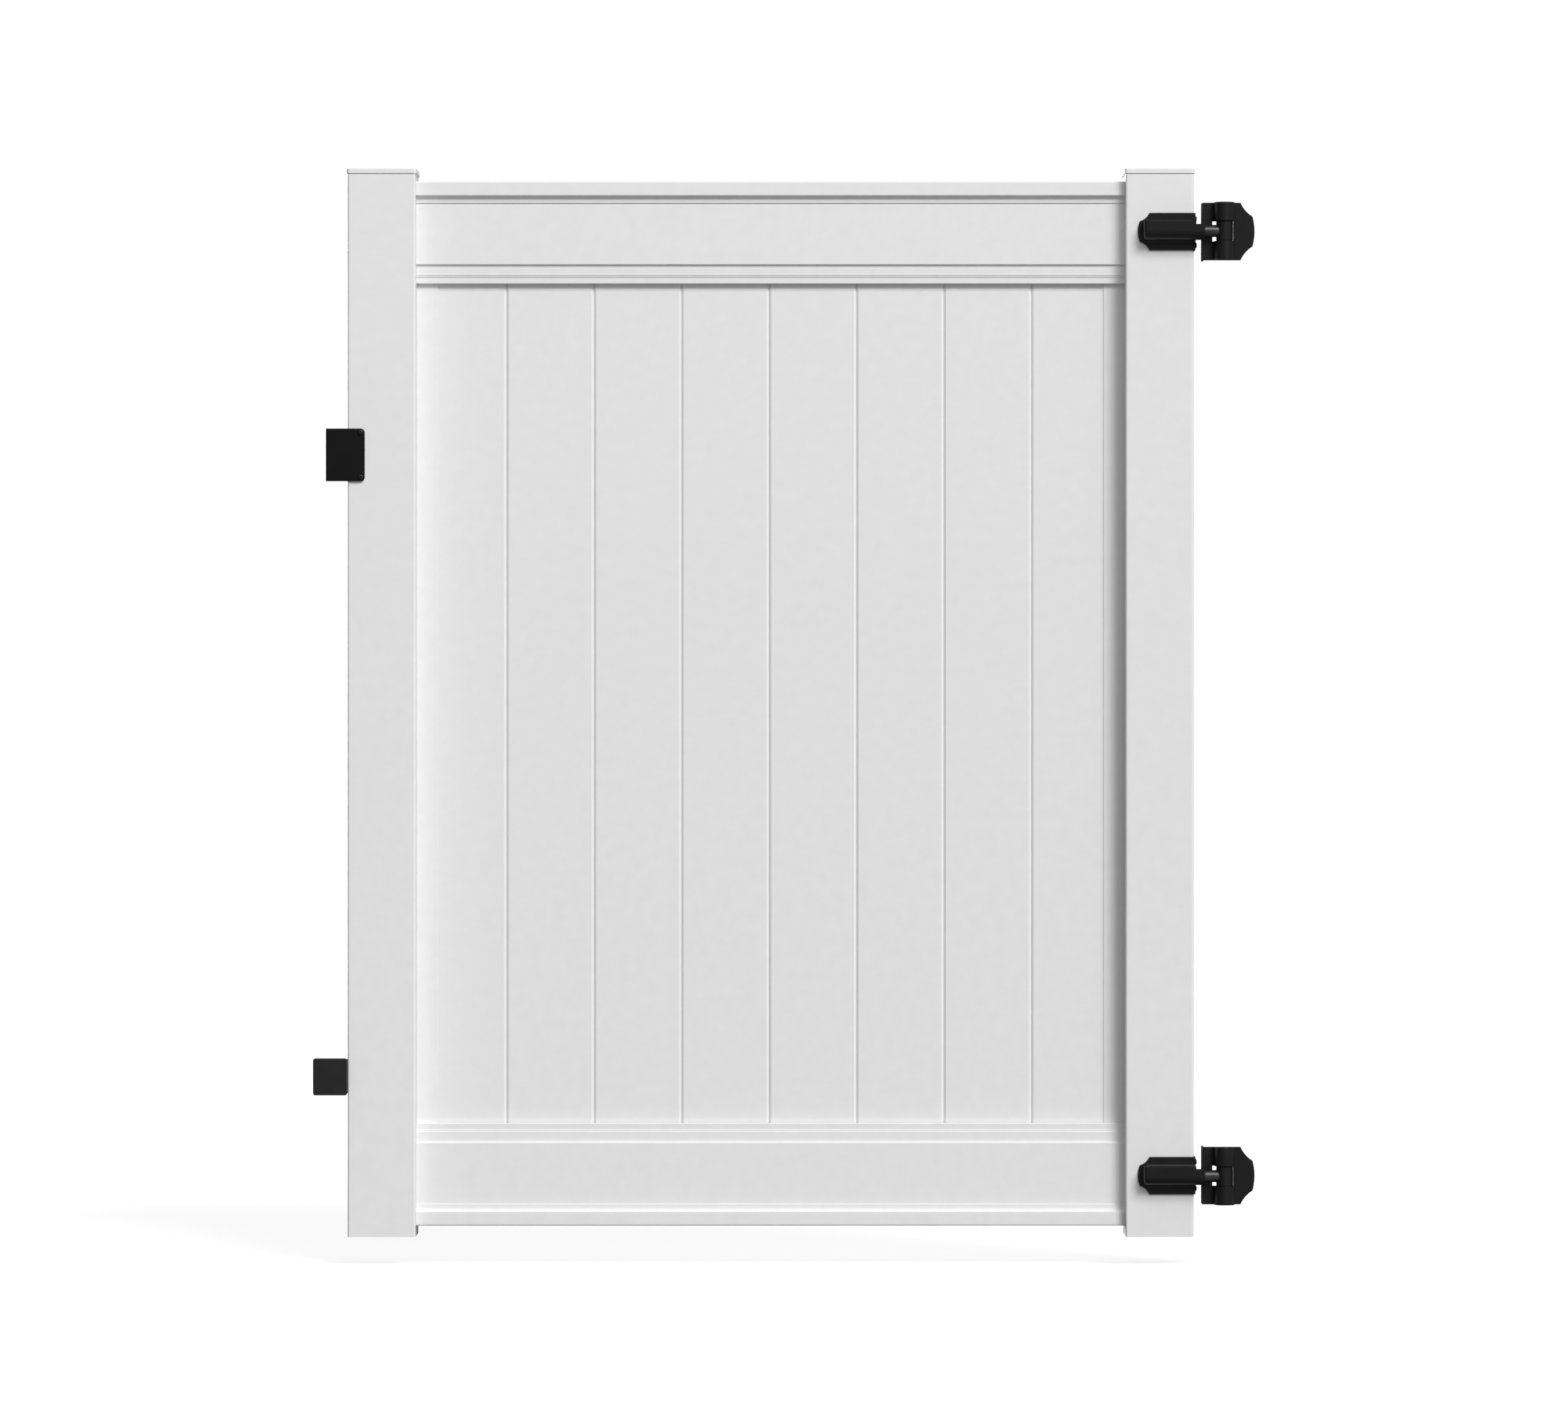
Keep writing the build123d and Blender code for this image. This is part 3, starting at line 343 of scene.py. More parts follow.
powder_coat = black_coat("black powder coat on die-cast zinc", "#101011", "#151516", 0.38, shine=0.28)
latch_coat = black_coat("fine black powder coat on latch", "#0b0b0c", "#0f0f10", 0.44, shine=0.16)
nylon = black_coat("black moulded nylon", "#1a1a1b", "#202021", 0.50, 0.0, 1.53, 0.25, 2.4, 0.015)
cap_nylon = black_coat("black moulded nylon cap", "#111112", "#161617", 0.44, 0.0, 1.53, 0.3)
rubber = black_coat("black rubber", "#141414", "#191918", 0.75, 0.0, 1.52, 0.3, 1.2, 0.03)
black_steel = metal("black oxide steel", "#4e4e50", "#5c5c5e", 0.34, 3.0, 0.004)
black_screw_steel = metal("black oxide screw steel", "#303032", "#3a3a3c", 0.38, 1.6, 0.004)
zinc = metal("bright zinc plate", "#b9bcc0", "#c9ccd0", 0.30, 4.0, 0.004)
pin_steel = metal("ground stainless steel", "#a3a5a8", "#adafb2", 0.26, 6.0, 0.002)
aluminium = metal("mill finish aluminium", "#b4b6b8", "#c0c2c4", 0.36, 8.0, 0.006)
FINISH = {
    "vinyl": upright_vinyl,
    "zinc_screw": zinc,
    "aluminium": aluminium,
    "hinge_black": powder_coat,
    "hinge_cap": cap_nylon,
    "pin_steel": pin_steel,
    "rod_black": black_steel,
    "black_screw": black_screw_steel,
    "latch_black": latch_coat,
    "stop_nylon": nylon,
    "rubber": rubber,
}
for node, thing in frame["nodes"].items():
    thing.data.materials.clear()
    thing.data.materials.append(FINISH[slot_of[node]])
print(len(FINISH), "finishes are on", len(frame["nodes"]), "nodes")

# %% [markdown]
# ## One outline, one profile
# A moulded part has two lines that describe it: the outline that we see along its length, and the profile of
# its rim. A modelling program would draw a box and bevel its edges by hand. We work both out instead, so
# every rim is a true quarter circle and a size can be changed in one place. An outline is a polygon whose
# corners become arcs. It can also be drawn a little smaller, which is what a rounded rim does on its way to
# a flat end.

# %% Outlines
def rounded(corners, radii, inset=0.0, steps=5):
    """A closed outline with an arc at each corner, after every straight edge has moved in by inset.

    With a and b the inward normals of the edges before and after a corner, the corner moves by
    inset * (a + b) / (1 + a.b). The arc's centre is a further radius * (a + b) / (1 + a.b) along, and its
    points are centre - radius * (the normal as it turns from a to b). A hollow corner turns the other way, so
    its radius grows where an outward one shrinks.
    """
    corners, radii = np.array(corners, float), np.array(radii, float)
    after = np.roll(corners, -1, 0)
    if np.sum(corners[:, 0] * after[:, 1] - corners[:, 1] * after[:, 0]) < 0:
        corners, radii = corners[::-1], radii[::-1]
    leaving = np.roll(corners, -1, 0) - corners
    leaving /= np.linalg.norm(leaving, axis=1)[:, None]
    arriving = np.roll(leaving, 1, 0)
    normal_a = np.column_stack([-arriving[:, 1], arriving[:, 0]])
    normal_b = np.column_stack([-leaving[:, 1], leaving[:, 0]])
    cosine = np.sum(arriving * leaving, 1)
    turn = np.arctan2(arriving[:, 0] * leaving[:, 1] - arriving[:, 1] * leaving[:, 0], cosine)
    hand = np.sign(turn)
    mitre = (normal_a + normal_b) / (1 + cosine)[:, None]
    radii = np.maximum(radii - hand * inset, 0.01)
    centres = corners + mitre * (inset + hand * radii)[:, None]
    first_angle = np.arctan2(normal_a[:, 1], normal_a[:, 0])
    angles = first_angle[:, None] + turn[:, None] * np.linspace(0, 1, steps + 1)
    spokes = np.stack([np.cos(angles), np.sin(angles)], -1)
    return (centres[:, None] - (hand * radii)[:, None, None] * spokes).reshape(-1, 2)


def shape(corners, radii, steps=5):
    """An outline as a function of its inset, so that a rim can ask for it at several sizes."""
    radii = np.broadcast_to(np.asarray(radii, float), (len(corners),))
    return lambda inset: rounded(corners, radii, inset, steps)


def circle(radius, middle=(0.0, 0.0), points=48):
    """A circle as a function of its inset: middle + (radius - inset) * (cos, sin)."""
    turn = np.linspace(0, 2 * np.pi, points, endpoint=False)
    return lambda inset: np.array(middle) + (radius - inset) * np.column_stack([np.cos(turn), np.sin(turn)])


def split(rows):
    """Rows of x, y and corner radius as the corners and the radii."""
    rows = np.array(rows, float)
    return rows[:, :2], rows[:, 2]


def box_corners(x0, y0, x1, y1):
    """The four corners of a rectangle, anticlockwise."""
    return [(x0, y0), (x1, y0), (x1, y1), (x0, y1)]


def arc(start, end, bow, points=9):
    """Points from start to end on a circle that leaves the chord by bow, to the left of the way that it runs.

    With half the chord h, the circle's radius is (h * h + bow * bow) / (2 * bow). At a distance t from the
    chord's middle it stands sqrt(radius * radius - t * t) - (radius - bow) off the chord.
    """
    start, end = np.array(start, float), np.array(end, float)
    half = (end - start) / 2
    h = np.linalg.norm(half)
    left = np.array([-half[1], half[0]]) / h
    radius = (h * h + bow * bow) / (2 * abs(bow))
    t = np.linspace(-1, 1, points)[:, None]
    rise = np.sqrt(radius**2 - (t * h) ** 2) - (radius - abs(bow))
    return ((start + end) / 2 + t * half + np.sign(bow) * rise * left).tolist()


# %% [markdown]
# A profile is a list of pairs: how far the outline is drawn in, and how high it stands. A soft rim is a
# quarter circle of such pairs. The surface is then a grid with two parameters: one runs round the outline
# and the other runs along the profile. What is left open at the two ends is flat, and gets filled. A hole is
# one more grid whose ends lie in the same flat places.

# %% Profiles and shells
def rim(height, edge, side, steps=4):
    """Pairs for a quarter-round rim that ends at height: at angle t they are edge * (1 - cos t) in, and
    edge * (1 - sin t) short of the end. Side is 1 for the far end and -1 for the near one."""
    if edge == 0:
        return [(0.0, height)]
    t = np.linspace(0, np.pi / 2, steps + 1)
    pairs = list(zip(edge * (1 - np.cos(t)), height - side * edge * (1 - np.sin(t))))
    return pairs if side > 0 else pairs[::-1]


def block(low, high, low_edge=0.0, high_edge=0.0):
    """The profile of a plain block with a soft rim at either end."""
    return rim(low, low_edge, -1) + rim(high, high_edge, 1)


def rings(outline, profile):
    """The grid of a surface: one ring of points for each pair of the profile."""
    flat = [(outline(inset), height) for inset, height in profile]
    return np.stack([np.column_stack([ring, np.full(len(ring), height)]) for ring, height in flat])


def shell(*grids):
    """A closed surface: points j and j + 1 of rings i and i + 1 make a quad, and open ends are filled."""
    points, quads, first = [], [], 0
    for grid in grids:
        count, around = grid.shape[:2]
        i, j = np.meshgrid(np.arange(count - 1), np.arange(around), indexing="ij")
        k = (j + 1) % around
        ring, column = np.stack([i, i, i + 1, i + 1], -1), np.stack([j, k, k, j], -1)
        quads.append(first + (ring * around + column).reshape(-1, 4))
        points.append(grid.reshape(-1, 3))
        first += count * around
    mesh = bpy.data.meshes.new("shell")
    mesh.from_pydata(np.concatenate(points).tolist(), [], np.concatenate(quads).tolist())
    solid = bmesh.new()
    solid.from_mesh(mesh)
    bpy.data.meshes.remove(mesh)
    open_edges = [edge for edge in solid.edges if edge.is_boundary]
    for level in sorted({round(edge.verts[0].co.z, 3) for edge in open_edges}):
        loop = [edge for edge in open_edges if abs(edge.verts[0].co.z - level) < 0.01]
        bmesh.ops.triangle_fill(solid, use_beauty=True, edges=loop, normal=(0, 0, 1))
    bmesh.ops.recalc_face_normals(solid, faces=solid.faces)
    return solid


def placed(solid, origin, across, up):
    """Turn a shell's own axes into the gate's: its x runs along across, its y along up, and its height along
    across x up. That third axis makes the turn a rotation, never a mirror, so the faces stay outwards."""
    out = np.cross(across, up)
    matrix = Matrix([[across[i], up[i], out[i], origin[i]] for i in range(3)] + [[0, 0, 0, 1]])
    bmesh.ops.transform(solid, matrix=matrix, verts=solid.verts)
    return solid


def slab(corners, radii, profile, origin, across, up, holes=(), steps=5):
    """The commonest case: an outline carried along a profile, with holes that run right through."""
    ends = [(0.0, profile[0][1]), (0.0, profile[-1][1])]
    grids = [rings(shape(corners, radii, steps), profile)] + [rings(hole, ends) for hole in holes]
    return placed(shell(*grids), origin, across, up)


# %% [markdown]
# A finished piece says three things: which body it moves with, which plain solids it stands for, and which
# slot of the design its finish comes from. Long flat faces next to tiny arcs would shade as if they were
# domed, because a corner's normal is an average. The Weighted Normal modifier lets the larger face win, so
# flats stay flat.

# %% Pieces
SHARP_ANGLE = radians(38)
made = []


def joined_mesh(name, shells):
    """One mesh in metres from several shells in millimetres."""
    joined = bmesh.new()
    for solid in shells:
        scratch = bpy.data.meshes.new("scratch")
        solid.to_mesh(scratch)
        joined.from_mesh(scratch)
        bpy.data.meshes.remove(scratch)
        solid.free()
    bmesh.ops.scale(joined, vec=(MM, MM, MM), verts=joined.verts)
    mesh = bpy.data.meshes.new(name)
    joined.to_mesh(mesh)
    joined.free()
    return mesh


def piece(name, shells, *nodes, finish=None):
    """Join shells into one object in metres, in its place, on the first node's body, and hide the nodes whose
    look it takes.
    """
    mesh = joined_mesh(name, shells)
    mesh.shade_smooth()
    mesh.set_sharp_from_angle(angle=SHARP_ANGLE)
    slot = slot_of[nodes[0]]
    mesh.materials.append(finish or FINISH[slot])
    thing = bpy.data.objects.new(name, mesh)
    scene.collection.objects.link(thing)
    flat_first = thing.modifiers.new("flat faces first", "WEIGHTED_NORMAL")
    flat_first.keep_sharp = True
    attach(thing, body_of[nodes[0]])
    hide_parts(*nodes)
    made.append(name)
    return thing


X, Y, Z = (1, 0, 0), (0, 1, 0), (0, 0, 1)
LEFT, FRONT, DOWN = (-1, 0, 0), (0, -1, 0), (0, 0, -1)

# %% [markdown]
# ## Boards
# Each board is a hollow extrusion with a groove on one edge and a tongue on the other, so that eight of them
# lock into one sheet. Both front corners are bevelled, and where two boards meet the bevels make a V-shaped
# line. The outline is drawn in plan and carried upwards. The four cells inside it are holes that run its
# full length.

# %% The boards' outline in plan
BOARD_BODY = 152.2
BOARD_HALF = 11.1
BOARD_SHOULDER = 8.7
TONGUE_HALF = 4.0
TONGUE_END = 158.2
GROOVE_HALF = 4.3
GROOVE_DEPTH = 6.5
LEFT_BEVEL = 3.6
RIGHT_BEVEL = 4.3
CELLS = 4
CELL_START = 8.1
CELL_PITCH = 35.975
CELL_WIDTH = 34.575
CELL_HALF = 8.3
CELL_ROUND = 0.8

half_board = [
    (0, GROOVE_HALF, 0.4),
    (0, BOARD_SHOULDER, 0.5),
    (LEFT_BEVEL, BOARD_HALF, 0.7),
    (BOARD_BODY - RIGHT_BEVEL, BOARD_HALF, 0.7),
    (BOARD_BODY, BOARD_SHOULDER, 0.5),
    (BOARD_BODY, TONGUE_HALF, 0.3),
    (TONGUE_END, TONGUE_HALF, 0.8),
]
board_points = [(GROOVE_DEPTH, -GROOVE_HALF, 0.4)]
board_points += [(x, -y, r) for x, y, r in half_board] + half_board[::-1] + [(GROOVE_DEPTH, GROOVE_HALF, 0.4)]
cells = [
    shape(box_corners(x, -CELL_HALF, x + CELL_WIDTH, CELL_HALF), CELL_ROUND, 3)
    for x in CELL_START + CELL_PITCH * np.arange(CELLS)
]

# %% Eight boards
board_nodes = sorted(node for node in body_of if node.startswith("board_"))
for node in board_nodes:
    low, high = box_mm(node)
    origin = (low[0], (low[1] + high[1]) / 2, low[2])
    board = slab(*split(board_points), block(0, high[2] - low[2]), origin, X, Y, cells, 4)
    piece(node + "_extrusion", [board], node)
print(len(board_nodes), "boards,", round(high[2] - low[2]), "mm long")

# %% [markdown]
# ## Rails
# The rails are the mouldings of this gate. From the outer edge inwards the face steps back: a broad band, a
# cove, a shoulder, the long flat field, a small cove, and two fine beads at the lip that the boards stand
# in. Each step is two corners of the outline, one outward with a small radius and one hollow with the cove's
# radius. The same outline serves both rails, because the bottom one is the top one upside down.

# %% The rails' outline
BAND_HALF, BAND_END = 38.0, 24.3
STEP_HALF, STEP_END = 29.5, 37.0
FIELD_HALF, FIELD_END = 27.5, 144.0
FOOT_HALF, FOOT_END = 23.5, 163.0
BEAD_HALF, BEAD_END = 22.4, 166.2
LIP_HALF, LIP_END = 21.3, 177.0
POCKET_HALF, POCKET_FLOOR = 13.0, 133.0
RAIL_WALL = 2.6
HOLLOW_ROUND = 1.0
half_rail = [
    (BAND_HALF, 0.0, 2.4),
    (BAND_HALF, BAND_END, 0.9),
    (STEP_HALF, BAND_END, 7.0),
    (STEP_HALF, STEP_END, 0.45),
    (FIELD_HALF, STEP_END, 0.9),
    (FIELD_HALF, FIELD_END, 0.9),
    (FOOT_HALF, FIELD_END, 3.0),
    (FOOT_HALF, FOOT_END, 0.45),
    (BEAD_HALF, FOOT_END, 0.45),
    (BEAD_HALF, BEAD_END, 0.45),
    (LIP_HALF, BEAD_END, 0.45),
    (LIP_HALF, LIP_END, 0.9),
    (POCKET_HALF, LIP_END, 0.6),
    (POCKET_HALF, POCKET_FLOOR, 0.6),
]
rail_points = half_rail + [(-x, y, r) for x, y, r in half_rail[::-1]]
half_hollow = [
    (BAND_HALF - RAIL_WALL, RAIL_WALL),
    (BAND_HALF - RAIL_WALL, BAND_END),
    (FIELD_HALF - RAIL_WALL, BAND_END),
    (FIELD_HALF - RAIL_WALL, FIELD_END - RAIL_WALL),
    (POCKET_HALF + RAIL_WALL, FIELD_END - RAIL_WALL),
    (POCKET_HALF + RAIL_WALL, POCKET_FLOOR - RAIL_WALL),
]
rail_hollow = shape(half_hollow + [(-x, y) for x, y in half_hollow[::-1]], HOLLOW_ROUND, 3)

# %% Two rails
for node, along_section in (("top_rail", DOWN), ("bottom_rail", Z)):
    low, high = box_mm(node)
    across = Y if along_section == DOWN else FRONT
    origin = (high[0], (low[1] + high[1]) / 2, high[2] if along_section == DOWN else low[2])
    rail_profile = block(0, high[0] - low[0])
    rail = slab(*split(rail_points), rail_profile, origin, across, along_section, [rail_hollow], 6)
    piece(node + "_moulding", [rail], node, finish=level_vinyl)
print("rails are", round(high[0] - low[0]), "mm long with", len(rail_points), "corners in their outline")

# %% [markdown]
# ## U-channels and caps
# A U-channel on each stile hides the cut edge of the outermost board. It is one thin outline carried
# upwards. A cap is a square whose profile does more work: it starts at the ceiling inside the skirt, comes
# down the skirt's inner face, turns round its foot, climbs the outer face and rolls over a soft rim onto the
# flat top.

# %% Two U-channels
CHANNEL_LEG = 36.7
CHANNEL_HALF = 12.7
CHANNEL_WALL = 1.35
inner_half = CHANNEL_HALF - CHANNEL_WALL
channel_half = [
    (0, CHANNEL_HALF, 0.8),
    (CHANNEL_LEG, CHANNEL_HALF, 0.5),
    (CHANNEL_LEG, inner_half, 0.5),
    (CHANNEL_WALL, inner_half, 0.4),
]
channel_points = [(x, -y, r) for x, y, r in channel_half] + channel_half[::-1]
for node in ("u_channel_latch_side", "u_channel_hinge_side"):
    low, high = box_mm(node)
    latch_side = node.endswith("latch_side")
    origin = (low[0] if latch_side else high[0], (low[1] + high[1]) / 2, low[2])
    across, up = (X, Y) if latch_side else (LEFT, FRONT)
    channel = slab(*split(channel_points), block(0, high[2] - low[2]), origin, across, up, steps=3)
    piece(node + "_extrusion", [channel], node)
print("channels are", round(high[2] - low[2]), "mm long")

# %% Two caps
CAP_CORNER = 5.25
SKIRT_WALL = 1.55
SKIRT_HEIGHT = 5.5
CAP_RIM = 1.2
FOOT_RIM = 0.4
for node in ("cap_hinge_side", "cap_latch_side"):
    low, high = box_mm(node)
    half = (high[0] - low[0]) / 2
    inside = [(SKIRT_WALL, SKIRT_HEIGHT), (SKIRT_WALL, FOOT_RIM), (SKIRT_WALL - FOOT_RIM, 0.0)]
    profile = inside + block(0, high[2] - low[2], FOOT_RIM, CAP_RIM)
    origin = ((low[0] + high[0]) / 2, (low[1] + high[1]) / 2, low[2])
    grid = rings(shape(box_corners(-half, -half, half, half), CAP_CORNER, 8), profile)
    piece(node + "_moulding", [placed(shell(grid), origin, X, Y)], node, finish=moulded_vinyl)
print("caps are", round(2 * half, 1), "mm square")

# %% [markdown]
# ## Turned parts
# Pins, rods, knuckles and screw heads come off a lathe, so a profile of radius against height describes
# them. A hexagon socket is the same kind of ring with six flats: its radius at an angle is the flat's
# distance divided by the cosine of the angle from the middle of that flat. With one more column for the
# number of flats, a whole screw with its socket is a single grid.

# %% Turned surfaces
AROUND = 48


def turned(profile, closed=False):
    """A surface of revolution from rows of radius, height and flats, 0 for round.

    A flat-sided ring has radius * cos(pi / flats) / cos(the angle from the nearest flat's middle).
    """
    angle = np.linspace(0, 2 * np.pi, AROUND, endpoint=False)
    radius, height, flats = np.array(profile, float).T[:, :, None]
    part = np.pi / np.maximum(flats, 1)
    flat_sided = np.cos(part) / np.cos(np.mod(angle, 2 * part) - part)
    reach = radius * np.where(flats > 0, flat_sided, 1.0)
    grid = np.stack([reach * np.cos(angle), reach * np.sin(angle), np.broadcast_to(height, reach.shape)], -1)
    return shell(np.concatenate([grid, grid[:1]])) if closed else shell(grid)


def axes_for(direction):
    """Two axes at right angles whose cross product is the direction."""
    return {X: (Y, Z), LEFT: (FRONT, Z), FRONT: (X, Z)}[direction]


SOCKET_DEPTH = 1.3
SOCKET_RADIUS = 1.7
CROWN_RADIUS = 2.6
DOME_SHARE = 0.75
POINT_RADIUS = 0.3
POINT_LENGTH = 2.5


def screw(point, direction, head_radius, head_height, shank_radius, length):
    """A button-head socket screw. Its origin is under the head, and its head faces the direction.

    At an angle t up from its rim, the crown's radius is head_radius - (head_radius - CROWN_RADIUS) *
    (1 - cos t), and its height is head_height - dome + dome * sin t.
    """
    dome = head_height * DOME_SHARE
    t = np.linspace(0, np.pi / 2, 7)
    crown_radii = head_radius - (head_radius - CROWN_RADIUS) * (1 - np.cos(t))
    crown_heights = head_height - dome + dome * np.sin(t)
    rows = [(POINT_RADIUS, -length, 0), (shank_radius, -length + POINT_LENGTH, 0)]
    rows += [(shank_radius, 0, 0), (head_radius, 0, 0)]
    rows += [(radius, height, 0) for radius, height in zip(crown_radii, crown_heights)]
    rows += [(SOCKET_RADIUS, head_height, 6), (SOCKET_RADIUS, head_height - SOCKET_DEPTH, 6)]
    return placed(turned(rows), point, *axes_for(direction))


# %% [markdown]
# ## Hinges
# Each hinge has two die-cast leaves. The post leaf carries two barrels with the pin in them, and a leg that
# goes round the post's corner. The gate leaf has a long boss, bored for the rod whose eye turns on the pin.
# The plates are slabs with a hollow scallop cut into two corners. The barrel's outline is round in front and
# flat behind, with a cove on the gate's side, and it is carried along the pin. Between the barrels a window
# leaves room for the knuckle and the rod, and a narrow web on the post's side holds the barrels together.

# %% Sizes that both leaves share
LEAF = 4.0
LEG = 3.0
LEG_REACH = 57.0
LEG_ROUNDS = [0.3, 2.0, 2.0, 0.3]
FACE_Y = 17.0
LEG_ROOT = FACE_Y - LEAF + 1.0
PLATE_MIDDLE = FACE_Y - LEAF / 2
PLATE_RIM = 1.2
SCALLOP = 2.4
PIN_BORE = 5.05
BARREL = 17.5
BOSS = 15.5


def middle_height(node):
    """The height of the middle of a node's box."""
    low, high = box_mm(node)
    return (low[2] + high[2]) / 2


hinge_level = {side: middle_height(side + "_post_leaf") for side in ("lower", "upper")}
print("hinge levels are", {side: round(level, 1) for side, level in hinge_level.items()})


def d_outline(radius, back):
    """A bar seen along its length: round in front, flat flanks, and a flat back that a rim doesn't move."""
    return lambda inset: rounded(
        box_corners(-radius, -radius, radius, back + inset), [radius, radius, 0.3, 0.3], inset, 14
    )


# %% Post leaves
POST_HALF = 50.0
POST_LEFT = -38.0
SHOULDER = (28.6, 50.0)
NOSE = (49.5, 26.0)
NOSE_BOW = 3.5
WINDOW_HALF = 17.5
WINDOW = (-20.5, -WINDOW_HALF, 15.2, WINDOW_HALF)
WINDOW_ROUND = 0.6
WEB_FRONT = -8.0
WEB_HALF = 18.5
WEB_ROUNDS = [0.8, 0.8, 0.2, 0.2]
BARREL_COVE = 5.8
COVE_WIDTH = 6.0
POST_SCREW_HOLES = [(y, z) for y in (30.0, 47.0) for z in (-38.0, 38.0)]
POST_SCREW_RADIUS = 3.2
SPRING_BORE = 12.5
CAP_BORE = 14.0
CAP_SEAT = 46.0
SPRING_FLOOR = 20.5
PIN_END = -45.0

lower_scallop = arc((SHOULDER[0], -SHOULDER[1]), (NOSE[0], -NOSE[1]), SCALLOP)
nose = arc((NOSE[0], -NOSE[1]), NOSE, -NOSE_BOW)
upper_scallop = arc(NOSE, SHOULDER, SCALLOP)
post_plate = [(POST_LEFT, -POST_HALF)] + lower_scallop + nose[1:-1] + upper_scallop + [(POST_LEFT, POST_HALF)]
post_radii = np.full(len(post_plate), 0.3)
post_radii[[0, -1]] = 1.0
post_radii[[1, len(post_plate) - 2]] = 1.2

barrel_corners = [
    (BARREL, FACE_Y),
    (-BARREL - COVE_WIDTH, FACE_Y),
    (-BARREL - COVE_WIDTH, FACE_Y - LEAF),
    (-BARREL, FACE_Y - LEAF),
    (-BARREL, -BARREL),
    (BARREL, -BARREL),
]
barrel = shape(barrel_corners, [0.2, 0.2, 0.1, BARREL_COVE, BARREL, BARREL], 14)
top_bore = [(PIN_BORE, WINDOW_HALF), (PIN_BORE, SPRING_FLOOR), (SPRING_BORE, SPRING_FLOOR)]
top_bore += [(SPRING_BORE, CAP_SEAT), (CAP_BORE, CAP_SEAT), (CAP_BORE, POST_HALF)]
bottom_bore = [(PIN_BORE, PIN_END), (PIN_BORE, -WINDOW_HALF)]


def bore(rows):
    """The grid of a stepped hole on the barrel's axis, from rows of radius and height."""
    return rings(circle(CAP_BORE), [(CAP_BORE - radius, height) for radius, height in rows])


for side, level in hinge_level.items():
    node, pin_middle = side + "_post_leaf", (0, 0, level)
    window = shape(box_corners(*WINDOW), WINDOW_ROUND)
    plate_profile = block(0, LEAF, 0, PLATE_RIM)
    plate = slab(post_plate, post_radii, plate_profile, (0, FACE_Y, level), X, Z, [window], 3)
    leg_holes = [circle(POST_SCREW_RADIUS, middle, 24) for middle in POST_SCREW_HOLES]
    leg_corners = box_corners(LEG_ROOT, -POST_HALF, LEG_REACH, POST_HALF)
    leg = slab(leg_corners, LEG_ROUNDS, block(0, LEG, 0.5, 0.5), (POST_LEFT, 0, level), Y, Z, leg_holes)
    top = shell(rings(barrel, block(WINDOW_HALF, POST_HALF, 0.5, 0.9)), bore(top_bore))
    bottom = shell(rings(barrel, block(-POST_HALF, -WINDOW_HALF, 0.9, 0.5)), bore(bottom_bore))
    barrels = [placed(solid, pin_middle, X, Y) for solid in (top, bottom)]
    web_corners = box_corners(WINDOW[2], WEB_FRONT, BARREL, PLATE_MIDDLE)
    web = slab(web_corners, WEB_ROUNDS, block(-WEB_HALF, WEB_HALF), pin_middle, X, Y)
    piece(node + "_casting", [plate, leg, web, *barrels], node)
print("each post leaf has", len(leg_holes), "screw holes")

# %% [markdown]
# The gate leaf is a plate with a leg, and a boss whose left half sinks into the plate. Soft coves fill the
# corners between them, as a casting needs to leave its mould. Two grub screws come in from above to lock the
# rod. Their holes enter a round side, where no ring of the boss lies, so an exact boolean cuts them, and
# only its result is kept.

# %% Gate leaves
GATE_HALF = 32.5
GATE_RIGHT = -49.5
GATE_SHOULDER = -129.5
GATE_NOSE = (-146.1, 18.0)
GATE_NOSE_BOW = 3.4
BOSS_START = -140.0
BOSS_END = -34.0
BOSS_ROUND = 6.0
BOSS_BACK_CUT = 11.5
ROD_BORE = 10.55
ROD_BORE_END = -122.0
BOSS_COVE = 6.0
COVE_END = -136.0
COVE_ROUND = 0.05
GRUB_BORE = 3.0
GRUB_BORE_FLOOR = 8.0
GRUB_POSITIONS = (-62.0, -96.0)

upper_scallop = arc((GATE_SHOULDER, GATE_HALF), GATE_NOSE, SCALLOP)
nose = arc(GATE_NOSE, (GATE_NOSE[0], -GATE_NOSE[1]), -GATE_NOSE_BOW)
lower_scallop = arc((GATE_NOSE[0], -GATE_NOSE[1]), (GATE_SHOULDER, -GATE_HALF), SCALLOP)
gate_plate = [(GATE_RIGHT, -GATE_HALF), (GATE_RIGHT, GATE_HALF)] + upper_scallop + nose[1:-1] + lower_scallop
bow = BOSS_COVE * (1 - np.cos(np.pi / 4))
cove = arc((FACE_Y - LEAF, BOSS + BOSS_COVE), (FACE_Y - LEAF - BOSS_COVE, BOSS), -bow, 12)
inside_boss = [(FACE_Y - LEAF - BOSS_COVE, BOSS - 1.0), (PLATE_MIDDLE, BOSS - 1.0)]
cove = [(PLATE_MIDDLE, BOSS + BOSS_COVE)] + cove + inside_boss
gate_radii = np.full(len(gate_plate), 0.3)
gate_radii[:2] = 1.6
gate_radii[[2, -1]] = 1.2


